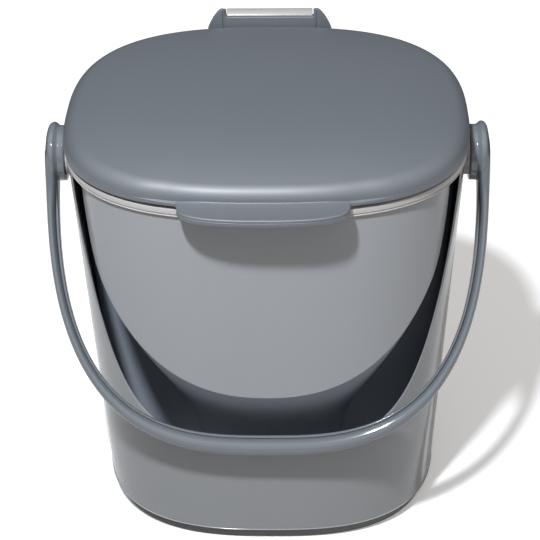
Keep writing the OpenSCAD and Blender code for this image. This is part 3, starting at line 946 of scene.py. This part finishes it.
@dataclass
class Lid:
    """The lid with its thumb tab as one skin, its seal and its hinge bracket."""

    plan: Plan
    z: float = 234.6
    over: float = 1.6
    lip: float = 2.2
    ledge: float = 0.12
    flare: float = 1.1
    flare_x: float = 68.0
    flare_fade: float = 18.0
    shoulder: float = 11.0
    shoulder_swing: float = 2.0
    crown: float = 16.5
    dome_p: float = 3.4
    wall: float = 2.4
    tab_half_w: float = 44.5
    tab_out: float = 14.4
    tab_n: float = 2.6
    tab_ease: float = 1.1
    tab_drop: float = 1.6
    tab_t: float = 4.0
    tab_root: float = 0.8
    tab_dish: float = 0.3
    tab_fade: float = 5.0
    middle_fade: float = 16.0
    fillet: float = 0.35
    fillet_swing: float = 0.1
    edge_r: float = 0.8
    heel_r: float = 0.5
    groove_down: float = 1.5
    groove_half: float = 0.28
    groove_in: float = 0.2
    hinge_y: float = 102.0
    hinge_z: float = 249.0
    ear_x: float = 27.75
    ear_t: float = 2.7
    ear_r: float = 5.1
    bracket_y: float = 95.0
    bracket_t: float = 2.6
    bracket_edge: float = 0.45
    columns: int = 960
    dense_half_w: float = 6.0
    dense_ends: float = 2.5
    dense_across: float = 0.8

    @property
    def halves(self) -> tuple[float, float]:
        """Half width and half depth of the lid's edge."""
        return self.plan.rim_w / 2 + self.over, self.plan.rim_d / 2 + self.over

    @property
    def foot_z(self) -> float:
        """Height of the shoulder's foot."""
        return self.z + self.lip

    def set_in(self, by: np.ndarray | float, t: np.ndarray) -> np.ndarray:
        """Points of the lid's plain edge at angle t, set in by a distance."""
        a, b = self.halves
        return squared(a - by, b - by, self.plan.corner_n, t)

    def radius(self, t: np.ndarray) -> np.ndarray:
        """Radius of the shoulder, which grows from front to rear with sin t."""
        return self.shoulder + self.shoulder_swing * np.sin(t)

    def outline(self) -> np.ndarray:
        """The lid's edge with the tab's joined to it, and the inner corners between them eased.

        The longer of two radii is taken on each ray from the centre, the path is spaced
        evenly, and a narrow Gaussian along the path rounds its corners.

        Returns:
            The closed path, evenly spaced, n by 2.
        """
        b = self.halves[1]
        edge = self.set_in(0.0, np.linspace(-np.pi / 2, 1.5 * np.pi, 24001)[:-1])
        w = np.linspace(0.0, np.pi, 6001)
        tab = squared(self.tab_half_w, self.tab_out, self.tab_n, w)
        tab = np.stack([tab[:, 0], -b - tab[:, 1]], 1)
        tab = np.vstack([[[self.tab_half_w, -0.8 * b]], tab, [[-self.tab_half_w, -0.8 * b]]])
        ray = np.arctan2(edge[:, 0], -edge[:, 1])
        tab_ray = np.arctan2(tab[:, 0], -tab[:, 1])[::-1]
        reach = np.interp(ray, tab_ray, np.hypot(*tab.T)[::-1], left=0.0, right=0.0)
        radius = np.maximum(np.hypot(*edge.T), reach)
        path = np.stack([radius * np.sin(ray), -radius * np.cos(ray)], 1)
        run = along(path, closed=True)
        count = 7200
        even = sample(path, run, np.linspace(0, run[-1], count, endpoint=False))
        offset = np.arange(-60, 61)
        weight = np.exp(-0.5 * (offset * run[-1] / count / self.tab_ease) ** 2)
        index = (np.arange(count)[:, None] + offset[None, :]) % count
        return np.einsum("ijk,j->ik", even[index], weight / weight.sum())

    def spread(self, path: np.ndarray) -> np.ndarray:
        """Columns of the lid along its outline, closer together across the tab and most so at
        its two ends, by a bell curve of the distance from them."""
        x, front = np.abs(path[:, 0]), path[:, 1] < 0
        ends = np.exp(-((x - self.tab_half_w) / self.dense_half_w) ** 2) * front
        across = (x < self.tab_half_w) & front
        density = 1.0 + self.dense_ends * ends + self.dense_across * across
        run = np.concatenate([[0.0], np.cumsum(density)])
        return sample(path, run, np.linspace(0.0, run[-1], self.columns, endpoint=False))

    def nearest(self, path: np.ndarray) -> np.ndarray:
        """Angle of the shoulder's foot that lies nearest to each point of the outline.

        Args:
            path: the columns of the outline.

        Returns:
            The angles, each the mean of nine neighbours.
        """
        t = np.linspace(-np.pi / 2, 1.5 * np.pi, 9000, endpoint=False)
        foot = self.set_in(self.ledge, t)
        turned = np.unwrap(np.concatenate([
            t[((part[:, None] - foot[None]) ** 2).sum(-1).argmin(1)]
            for part in np.array_split(path, 12)
        ]))
        index = np.arange(len(turned))[:, None] + np.arange(-4, 5)[None, :]
        full = turned[index % len(turned)] + 2 * np.pi * (index // len(turned))
        return full.mean(1)

    def arc(self, t: np.ndarray, ledge: np.ndarray, w: np.ndarray) -> np.ndarray:
        """Points of the shoulder: a quarter round, at its angle w above the ledge."""
        r = self.radius(t)
        flat = self.set_in(ledge + r * (1 - np.cos(w)), t)
        return np.column_stack([flat, self.foot_z + r * np.sin(w)])

    def shoulder_end(self, t: np.ndarray, ledge: np.ndarray) -> np.ndarray:
        """Angle at which the shoulder is as flat as the dome's edge, found by repetition."""
        r = self.radius(t)
        w = np.full(len(t), 1.4)
        for _ in range(12):
            reach = np.linalg.norm(self.arc(t, ledge, w)[:, :2], axis=1)
            w = np.pi / 2 - np.arctan(self.dome_p * (self.crown - r * np.sin(w)) / reach)
        return w

    def build_skin(self) -> None:
        """Makes the lid and its thumb tab as one closed surface."""
        surface = Surface()
        index = surface.add_grid(np.stack(LidSkin(self).rows()))
        top = self.foot_z + self.crown
        surface.add_fan(index[0], (0.0, 0.0, top - self.wall), start=True)
        surface.add_fan(index[-1], (0.0, 0.0, top))
        made = surface.piece("lid_skin", Part.LID, LID, crease=50.0)
        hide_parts("lid_shell", "thumb_tab")

    def build_seal(self) -> None:
        """Carries the seal's profile round: a body under the liner and a lip near the collar."""
        z = self.z
        corners = np.array([
            [0.7, z + 0.55], [0.5, z - 0.5], [-0.7, z - 1.65], [-0.3, z - 1.9], [1.6, z - 1.3],
            [3.6, z - 1.75], [4.5, z - 1.75], [4.5, z + 0.55],
        ])
        profile = round_corners(corners, [0.1, 0.3, 0.1, 0.1, 0.4, 0.3, 0.3, 0.1])
        band = self.plan.band(self.plan.rim_w / 2, self.plan.rim_d / 2, profile)
        made = hooped(band).piece("seal_lip", Part.LID, SEAL, crease=40.0)
        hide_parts("lid_seal")

    def ear(self, side: Side) -> Surface:
        """One ear: an outline in (y, z) with a round eye, carried across its width."""
        turn = np.radians(np.linspace(-80.0, 90.0, 25))
        eye = np.stack([self.hinge_y + self.ear_r * np.cos(turn),
                        self.hinge_z + self.ear_r * np.sin(turn)], 1)
        outline = np.vstack([[[94.5, 242.0], [99.0, 242.5]], eye, [[94.5, 254.6]]])
        return slab(outline, side.value * self.ear_x, self.ear_t, self.bracket_edge)

    def build_bracket(self) -> None:
        """Makes the hinge bracket: a cross wall with two bulbs, and an ear behind each bulb.

        The wall's outline is open below, and both of its faces run down to one level row.
        """
        half = np.array([
            [37.3, 240.0], [37.2, 245.0], [36.1, 247.8], [34.0, 252.0], [30.9, 256.2],
            [28.6, 258.0], [26.9, 256.9], [26.5, 253.2], [25.4, 252.7],
        ])
        outline = np.vstack([half, half[::-1] * [-1.0, 1.0]])
        cuts = [0.5, 1.2, 1.6, 2.2, 1.6, 1.1, 1.1, 0.5, 0.4]
        path = np.vstack([half[:1], round_corners(outline, cuts + cuts[::-1], 6)[6:-6],
                          half[:1] * [-1.0, 1.0]])
        way = np.gradient(path, axis=0)
        way /= np.linalg.norm(way, axis=1, keepdims=True)
        normal = np.stack([-way[:, 1], way[:, 0]], 1)
        inset, place = edged(self.bracket_t / 2, self.bracket_edge)
        rows = path[None] + normal[None] * inset[:, None, None]
        rows = np.concatenate([rows[:1], rows, rows[-1:]])
        rows[[0, -1], :, 1] = half[0, 1] - 0.4
        across = self.bracket_y + np.concatenate([place[:1], place, place[-1:]])
        across = np.broadcast_to(across[:, None], rows.shape[:2])
        wall = Surface()
        index = wall.add_grid(np.stack([rows[..., 0], across, rows[..., 1]], -1), True, False)
        wall.add_plug(index[:, 0])
        wall.add_plug(index[:, -1], start=True)
        made = wall.piece("bracket_wall", Part.LID, LID, crease=40.0)
        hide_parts("lid_bracket")
        for side in Side:
            self.ear(side).piece(f"bracket_ear_{side.name.lower()}", Part.LID, LID, crease=40.0)

    def build(self) -> None:
        """Makes the lid's pieces."""
        self.build_skin()
        self.build_seal()
        self.build_bracket()


class LidSkin:
    """The lid's skin with its thumb tab, in rows from the inside's centre up to the dome's.

    The ledge at the shoulder's foot widens beside the tab and turns into the tab's top, which
    rises to the shoulder's root and is slightly dished. Each array has a value a column.
    """

    def __init__(self, lid: Lid) -> None:
        """Works out where each column leaves the outline and meets the shoulder and the tab."""
        self.lid = lid
        self.path = lid.spread(lid.outline())
        self.t = lid.nearest(self.path)
        x, front = np.abs(lid.set_in(0.0, self.t)[:, 0]), np.sin(self.t) < 0
        self.ledge = lid.ledge + lid.flare * smooth((lid.flare_x - x) / lid.flare_fade) * front
        self.foot = lid.arc(self.t, self.ledge, np.zeros(1))[:, :2]
        self.depth = np.linalg.norm(self.path - self.foot, axis=1)
        self.deep = smooth((self.depth - self.ledge - 0.4) / lid.tab_fade)
        self.middle = smooth((lid.tab_half_w + 2.0 - x) / lid.middle_fade) * front
        self.r = lid.radius(self.t)
        self.low = lid.z - lid.tab_drop * self.deep
        self.high = lid.foot_z + 0.1 + (lid.tab_t - lid.tab_drop - lid.lip - 0.1) * self.deep
        self.root = self.high + 0.15 + lid.tab_root * self.middle
        self.fillet = lid.fillet + lid.fillet_swing * self.middle
        self.start = np.arcsin((self.root - lid.foot_z + self.fillet) / self.r)
        self.edge = np.minimum(lid.edge_r, 0.45 * self.depth)

    def row(self, inset: np.ndarray, height: np.ndarray | float) -> np.ndarray:
        """A row at a distance in from the outline, which runs on over the shoulder."""
        share = np.minimum(inset / self.depth, 1.0)[:, None]
        flat = self.path + (self.foot - self.path) * share
        past = self.ledge + np.maximum(inset - self.depth, 0.0)
        flat = np.where((inset > self.depth)[:, None], self.lid.set_in(past, self.t), flat)
        return np.column_stack([flat, np.broadcast_to(height, len(self.path))])

    def under(self) -> list[np.ndarray]:
        """Rows of the inside, from near its centre down to the wall's foot."""
        lid, r = self.lid, self.r - self.lid.wall
        edge, rest = lid.set_in(lid.wall + r, self.t), lid.crown - lid.wall - r
        rows = [
            np.column_stack([edge * s, lid.foot_z + r + rest * (1 - s**lid.dome_p)])
            for s in np.linspace(0.03, 1.0, 9)[:-1]
        ]
        for w in np.linspace(np.pi / 2, 0.0, 8):
            flat = lid.set_in(lid.wall + r * (1 - math.cos(w)), self.t)
            rows.append(np.column_stack([flat, lid.foot_z + r * math.sin(w)]))
        for inset, z in ((lid.wall, lid.z + 0.3), (lid.wall - 0.3, lid.z)):
            rows.append(np.column_stack([lid.set_in(inset, self.t), np.full(len(r), z)]))
        return rows

    def side(self) -> list[np.ndarray]:
        """Rows of the underside, the rounded heel, the groove round the side and the top edge."""
        lid = self.lid
        behind = np.maximum(self.depth - self.ledge - 0.1, 0.0)
        rows = [self.row(behind, lid.z), self.row(behind, lid.z + (self.low - lid.z) * 0.9)]
        heel = np.minimum(lid.heel_r, 0.45 * self.depth)
        for w in np.linspace(0.0, np.pi / 2, 5):
            rows.append(self.row(heel * (1 - math.sin(w)), self.low + heel * (1 - math.cos(w))))
        line = self.high - lid.groove_down
        for inset, share in ((0.0, -1.0), (lid.groove_in, -0.5), (lid.groove_in, 0.5), (0.0, 1.0)):
            rows.append(self.row(inset * self.deep, line + lid.groove_half * share))
        for w in np.linspace(0.0, np.pi / 2, 7):
            fall = self.edge * (1 - math.sin(w))
            rows.append(self.row(self.edge * (1 - math.cos(w)), self.high - fall))
        return rows

    def top(self) -> list[np.ndarray]:
        """Rows of the tab's dished top and of the fillet up to the shoulder.

        The fillet is the parabola from the tab's top to the shoulder's start that touches the
        lines of both.

        Returns:
            The rows, from the edge inwards.
        """
        arc_in = self.r * (1 - np.cos(self.start))
        arc_z = self.lid.foot_z + self.r * np.sin(self.start)
        corner = self.depth + arc_in - self.fillet * np.tan(self.start)
        start = np.maximum(corner - 1.4 * self.fillet, self.edge + 0.01)
        rows = []
        for k in np.linspace(0.12, 1.0, 9):
            inset = self.edge + (start - self.edge) * k
            share = (inset - self.edge) / (corner - self.edge)
            dish = self.lid.tab_dish * self.middle * np.sin(np.pi * share)
            rows.append(self.row(inset, self.high + (self.root - self.high) * share - dish))
        low = rows[-1][:, 2]
        for k in np.linspace(0.0, 1.0, 12)[1:]:
            p, q, s = (1 - k) ** 2, 2 * k * (1 - k), k * k
            inset = p * start + q * corner + s * (self.depth + arc_in)
            rows.append(self.row(inset, p * low + q * self.root + s * arc_z))
        return rows

    def crown(self) -> list[np.ndarray]:
        """Rows of the shoulder, and of the dome, which falls by its share to the power p."""
        lid = self.lid
        end = lid.shoulder_end(self.t, self.ledge)
        rows = [
            lid.arc(self.t, self.ledge, self.start + (end - self.start) * k)
            for k in np.linspace(0.0, 1.0, 21)[1:]
        ]
        last, top = rows[-1], lid.foot_z + lid.crown
        for k in np.linspace(1.0, 0.02, 23)[1:]:
            height = last[:, 2] + (top - last[:, 2]) * (1 - k**lid.dome_p)
            rows.append(np.column_stack([last[:, :2] * k, height]))
        return rows

    def rows(self) -> list[np.ndarray]:
        """All rows of the skin, in their order."""
        return [*self.under(), *self.side(), *self.top(), *self.crown()]


@dataclass
class Handle:
    """The bail handle, its two hubs and their caps."""

    pivot_z: float = 213.5
    reach: float = 171.0
    half_w: float = 125.0
    arm_t: float = 6.9
    grip_h: float = 11.4
    arm_d: float = 14.0
    grip_d: float = 9.6
    lean: float = 35.4
    n_out: float = 2.75
    n_in: float = 2.95
    spread: float = 1.15
    hub_r: float = 17.6
    hub_in: float = 113.5
    hub_out: float = 125.4
    face_in: float = 0.25
    dome: float = 2.6
    neck_step: float = 1.9
    cap_r: float = 9.0
    cap_t: float = 2.8
    cap_gap: float = 0.45
    edge_r: float = 3.2
    flare: float = 8.4
    flare_down: float = 19.0
    plain_down: float = 12.0
    plain_fade: float = 26.0
    rib_arm: float = -0.42
    rib_grip: float = -0.64
    bead_low: float = 0.26

    def section(self, rib: float) -> np.ndarray:
        """Section of the bail in (inner to outer, back to front), each from -1 to 1.

        A bead rounds the front and the outside. Behind it on the inner side a lower rib is
        set off by a groove, and the back is flat with rounded corners.

        Args:
            rib: where the groove lies, from inner -1 to outer 1.

        Returns:
            The closed section, n by 2.
        """
        low = self.bead_low
        last = np.pi - math.asin(low**1.15)
        w = np.linspace(0.0, last, 34)
        middle, half = (1 + rib) / 2, (1 - rib) / 2
        bead = np.stack([middle + half * powered(np.cos(w), 2.3), powered(np.sin(w), 2.3)], 1)
        step = round_corners(np.array([
            [rib - 0.05, low - 0.04], [rib - 0.12, 0.42], [-0.93, 0.42], [-1.0, 0.2],
            [-1.0, -0.5], [-0.8, -1.0], [0.5, -1.0], [1.0, -0.5],
        ]), [0.015, 0.03, 0.05, 0.06, 0.2, 0.2, 0.3, 0.3], 4)
        return np.vstack([bead, step[1:]])

    def bail(self) -> np.ndarray:
        """Sections of the bail from hub to hub.

        The section lies between the outer and inner curves of the bail, both squared outlines
        in its own plane, and the plane leans forward about the pivots. Near the hubs it is
        plain and widens to the hub's size by a bell curve of the distance from the pivot.

        Returns:
            The grid, sections by points round each section by 3.
        """
        w = even_angles(self.half_w, self.reach, self.n_out, 0.0, np.pi, 401)
        outer = squared(self.half_w, self.reach, self.n_out, w)
        inner = squared(self.half_w - self.arm_t, self.reach - self.grip_h, self.n_in, w)
        middle, half = (outer + inner) / 2, (outer - inner) / 2
        grip = smooth(np.sin(w) * self.spread)
        down = outer[:, 1]
        flare = self.flare * np.exp(-((down / self.flare_down) ** 2))
        deep = (self.arm_d + (self.grip_d - self.arm_d) * grip) / 2 + flare
        ribbed = self.section(self.rib_arm)[None] * (1 - grip)[:, None, None]
        ribbed = ribbed + self.section(self.rib_grip)[None] * grip[:, None, None]
        v = np.arctan2(ribbed[..., 1], ribbed[..., 0])
        plain = np.stack([powered(np.cos(v), 3.0), powered(np.sin(v), 3.0)], -1)
        share = smooth((down - self.plain_down) / self.plain_fade)[:, None, None]
        unit = plain + (ribbed - plain) * share
        flat = middle[:, None] + half[:, None] * unit[..., :1]
        q = deep[:, None] * unit[..., 1]
        lean = math.radians(self.lean)
        return np.stack([
            flat[..., 0],
            -flat[..., 1] * math.sin(lean) - q * math.cos(lean),
            self.pivot_z - flat[..., 1] * math.cos(lean) + q * math.sin(lean),
        ], -1)

    def build(self) -> None:
        """Makes the bail, then a hub and a cap on each side."""
        made = capped(self.bail()).piece("bail_grip", Part.HANDLE, HANDLE, crease=50.0)
        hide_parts("handle_bail")
        for side in Side:
            self.build_hub(side)
            self.build_cap(side)

    def face_x(self, r: np.ndarray) -> np.ndarray:
        """Place of the hub's domed face at a radius: dome times its share squared, in."""
        return self.hub_out - self.face_in - self.dome * (r / self.hub_r) ** 2

    def build_hub(self, side: Side) -> None:
        """Turns one hub: its neck, the soft swell to its rim, its domed face and cap's seat."""
        neck, er = self.hub_r - self.neck_step, self.edge_r
        edge = self.face_x(self.hub_r)
        x = np.linspace(self.hub_in + 3.4, edge - 0.8 * er, 14)
        swell = np.stack([x, neck + self.neck_step * smooth((x - x[0]) / (x[-1] - x[0]))], 1)
        k = np.linspace(0.0, 1.0, 12)[1:, None]
        corner = np.array([edge, self.hub_r])
        inner = np.array([self.face_x(self.hub_r - er), self.hub_r - er])
        rim = (1 - k) ** 2 * swell[-1] + 2 * k * (1 - k) * corner + k * k * inner
        r = np.linspace(self.hub_r - er, self.cap_r + self.cap_gap, 8)[1:]
        seat, face = self.hub_out - self.cap_t, self.face_x(self.cap_r)
        profile = np.vstack([
            [[self.hub_in, 4.1], [self.hub_in, neck - 0.5], [self.hub_in + 0.15, neck - 0.15],
             [self.hub_in + 0.5, neck]],
            swell, rim, np.stack([self.face_x(r), r], 1),
            [[face - 0.06, self.cap_r + 0.25], [face - 0.25, self.cap_r + 0.12],
             [seat, self.cap_r + 0.1], [seat, 4.1]],
        ])
        hub = hooped(revolved(profile, 0.0, self.pivot_z, side))
        hub.piece(f"hub_disc_{side.name.lower()}", Part.HANDLE, HANDLE, crease=32.0)

    def build_cap(self, side: Side) -> None:
        """Turns one cap, slightly domed, with a rounded edge."""
        r = np.linspace(self.cap_r - 0.35, 0.3, 14)
        base, face = self.hub_out - self.cap_t + 0.02, self.face_x(self.cap_r)
        profile = np.vstack([
            [[base, 0.3], [base, self.cap_r - 0.1], [face - 0.3, self.cap_r - 0.02],
             [face - 0.08, self.cap_r - 0.12]],
            np.stack([self.face_x(r) + self.face_in * (1 - (r / self.cap_r) ** 2), r], 1),
        ])
        surface = Surface()
        index = surface.add_grid(revolved(profile, 0.0, self.pivot_z, side))
        x = side.value
        surface.add_fan(index[0], (x * base, 0.0, self.pivot_z), start=True)
        surface.add_fan(index[-1], (x * self.hub_out, 0.0, self.pivot_z))
        made = surface.piece(f"hub_button_{side.name.lower()}", Part.HANDLE, HANDLE, crease=32.0)
        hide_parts(f"hub_cap_{side.name.lower()}")


@dataclass
class Carried:
    """The CAD nodes that stay as they are and take a finish."""

    looks: dict[str, Finish] = field(default_factory=lambda: {
        "base_plate": SHELL, "hinge_pin": STEEL, "pivot_pin_left": STEEL, "pivot_pin_right": STEEL,
        "pivot_boss_left": SHELL, "pivot_boss_right": SHELL, "pivot_washer_left": PALE,
        "pivot_washer_right": PALE, "lid_liner": PALE,
    })

    def build(self) -> None:
        """Gives each node its material."""
        for name, look in self.looks.items():
            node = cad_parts[name]
            node.data.materials.clear()
            node.data.materials.append(look.material())
            log.info("%s carried over with %s", name, look.name)


@dataclass
class Studio:
    """The floor, the light and the camera."""

    place: tuple[float, float, float] = (0.02278, -0.83106, 0.68913)
    right: tuple[float, float, float] = (0.9998, 0.0180, -0.0133)
    up: tuple[float, float, float] = (0.0011, 0.5559, 0.8313)
    lens: float = 112.72
    key: tuple[float, float, float] = (-0.205, -0.585, 1.235)
    aim: tuple[float, float, float] = (0.0, 0.0, 0.16)
    key_watts: float = 16.4
    key_size: float = 0.085
    key_tint: tuple[float, float, float] = (0.97, 1.0, 1.04)
    fill_tint: tuple[float, float, float] = (1.03, 0.99, 0.96)
    canopy_tint: tuple[float, float, float, float] = (0.97, 0.99, 1.0, 1.0)
    fill: float = 0.34
    top_fill: float = 0.36
    rear_fill: float = 0.22
    side_fill: tuple[float, float] = (0.15, 1.25)
    floor_dim: float = 0.22
    floor_end: tuple[float, float] = (0.24, 0.38)
    floor_gloss: tuple[float, float] = (0.93, 0.05)
    floor_lift: tuple[float, float] = (0.19, 0.75)
    floor_rings: tuple[float, ...] = (400.0, 1200.0, 4000.0)

    def camera(self) -> None:
        """Sets the camera at the photograph's place, turn and focal length."""
        data = bpy.data.cameras.new("camera")
        data.sensor_width, data.lens = 36.0, self.lens
        data.clip_start, data.clip_end = 0.05, 20.0
        made = put("camera", data)
        right, up = Vector(self.right).normalized(), Vector(self.up).normalized()
        back = right.cross(up).normalized()
        turn = Matrix((right, back.cross(right), back)).transposed()
        made.matrix_world = Matrix.Translation(self.place) @ turn.to_4x4()
        bpy.context.scene.camera = made

    def floor(self) -> None:
        """Lays a wide disc that is pale to camera and gloss and dim to diffuse light."""
        turn = np.linspace(0.0, 2 * np.pi, 96, endpoint=False)
        ring = np.stack([np.cos(turn), np.sin(turn), 0 * turn], 1)
        surface = Surface()
        index = surface.add_grid(ring[None] * np.array(self.floor_rings)[:, None, None])
        surface.add_fan(index[0], (0.0, 0.0, 0.0), start=True)
        mesh = surface.mesh("floor")
        mesh.materials.append(self.floor_material())
        put("floor", mesh)

    def floor_material(self) -> bpy.types.Material:
        """Diffuse floor: white to the camera with a lift that grows outwards, dark to gloss
        past its rear end, and dim to diffuse rays."""
        made = bpy.data.materials.new("studio_floor")
        made.use_nodes = True
        wires = Wiring(made.node_tree)
        wires.tree.nodes.remove(wires.tree.nodes["Principled BSDF"])
        path = wires.node("ShaderNodeLightPath")
        coords = wires.node("ShaderNodeTexCoord").outputs["Object"]
        place = wires.node("ShaderNodeSeparateXYZ")
        wires.feed(place.inputs[0], coords)
        fade = wires.ramp(place.outputs["Y"], self.floor_end, self.floor_gloss, "LINEAR")
        near = wires.choose(path.outputs["Is Glossy Ray"], self.floor_dim, fade)
        matt = wires.node("ShaderNodeBsdfDiffuse")
        wires.feed(matt.inputs["Color"], wires.choose(path.outputs["Is Camera Ray"], near, 1.0))
        away = wires.node("ShaderNodeVectorMath", operation="LENGTH")
        wires.feed(away.inputs[0], coords)
        far = wires.ramp(away.outputs["Value"], (0.3, 1.1), self.floor_lift)
        lift = wires.node("ShaderNodeEmission")
        wires.feed(lift.inputs["Strength"], wires.choose(path.outputs["Is Camera Ray"], 0.0, far))
        both = wires.node("ShaderNodeAddShader")
        wires.feed(both.inputs[0], matt.outputs[0])
        wires.feed(both.inputs[1], lift.outputs[0])
        wires.feed(wires.tree.nodes["Material Output"].inputs["Surface"], both.outputs[0])
        return made

    def lamp(self) -> None:
        """Adds the key as a small round lamp that looks at the caddy."""
        data = bpy.data.lights.new("key", "AREA")
        data.shape, data.size, data.energy = "DISK", self.key_size, self.key_watts
        data.color = self.key_tint
        made = put("key", data)
        made.location = self.key
        made.rotation_mode = "QUATERNION"
        made.rotation_quaternion = (Vector(self.key) - Vector(self.aim)).to_track_quat("Z", "Y")

    def world(self) -> None:
        """Adds a world that is brighter in front, to the right and overhead.

        Its level is front or rear fill times side fill, plus the top fill. Gloss sees a canopy
        that is bright overhead and in front and dark at the rear, and the camera sees white.
        """
        world = bpy.data.worlds.new("studio")
        bpy.context.scene.world = world
        world.use_nodes = True
        wires = Wiring(world.node_tree)
        apart = wires.node("ShaderNodeSeparateXYZ")
        wires.feed(apart.inputs[0], wires.node("ShaderNodeTexCoord").outputs["Generated"])
        x, y, z = apart.outputs
        level = wires.math(
            "MULTIPLY_ADD",
            wires.ramp(y, (0.7, -0.4), (self.rear_fill, self.fill)),
            wires.ramp(x, (-0.8, 0.3), self.side_fill),
            wires.ramp(z, (0.5, 1.0), (0.0, self.top_fill)),
        )
        tint = wires.node("ShaderNodeVectorMath", operation="SCALE")
        tint.inputs[0].default_value = self.fill_tint
        wires.feed(tint.inputs["Scale"], level)
        soft = wires.tree.nodes["Background"]
        wires.feed(soft.inputs["Color"], tint.outputs["Vector"])
        canopy = wires.node("ShaderNodeBackground")
        canopy.inputs["Color"].default_value = self.canopy_tint
        glow = wires.math("MULTIPLY", wires.ramp(y, (0.62, 0.02), (0.03, 1.0)),
                          wires.ramp(z, (0.0, 0.5), (0.45, 1.0)))
        wires.feed(canopy.inputs["Strength"], glow)
        plain = wires.node("ShaderNodeBackground")
        plain.inputs["Color"].default_value = (1.0, 1.0, 1.0, 1.0)
        path = wires.node("ShaderNodeLightPath")
        seen = wires.either(path.outputs["Is Glossy Ray"], soft.outputs[0], canopy.outputs[0])
        seen = wires.either(path.outputs["Is Camera Ray"], seen, plain.outputs[0])
        wires.feed(wires.tree.nodes["World Output"].inputs["Surface"], seen)

    def build(self) -> None:
        """Sets up camera, floor and lights, and plain colour management."""
        self.camera()
        self.floor()
        self.lamp()
        self.world()
        bpy.context.scene.view_settings.view_transform = "Standard"


def main() -> None:
    """Builds the studio and every sub-assembly."""
    logging.basicConfig(level=logging.INFO, format="%(name)s %(message)s")
    Studio().build()
    plan = Plan()
    parts = (Shell(plan), Pail(plan), Foot(plan), Collar(plan), Lid(plan), Handle(), Carried())
    for assembly in parts:
        log.info("building %s", type(assembly).__name__)
        assembly.build()


if __name__ == "__main__":
    main()
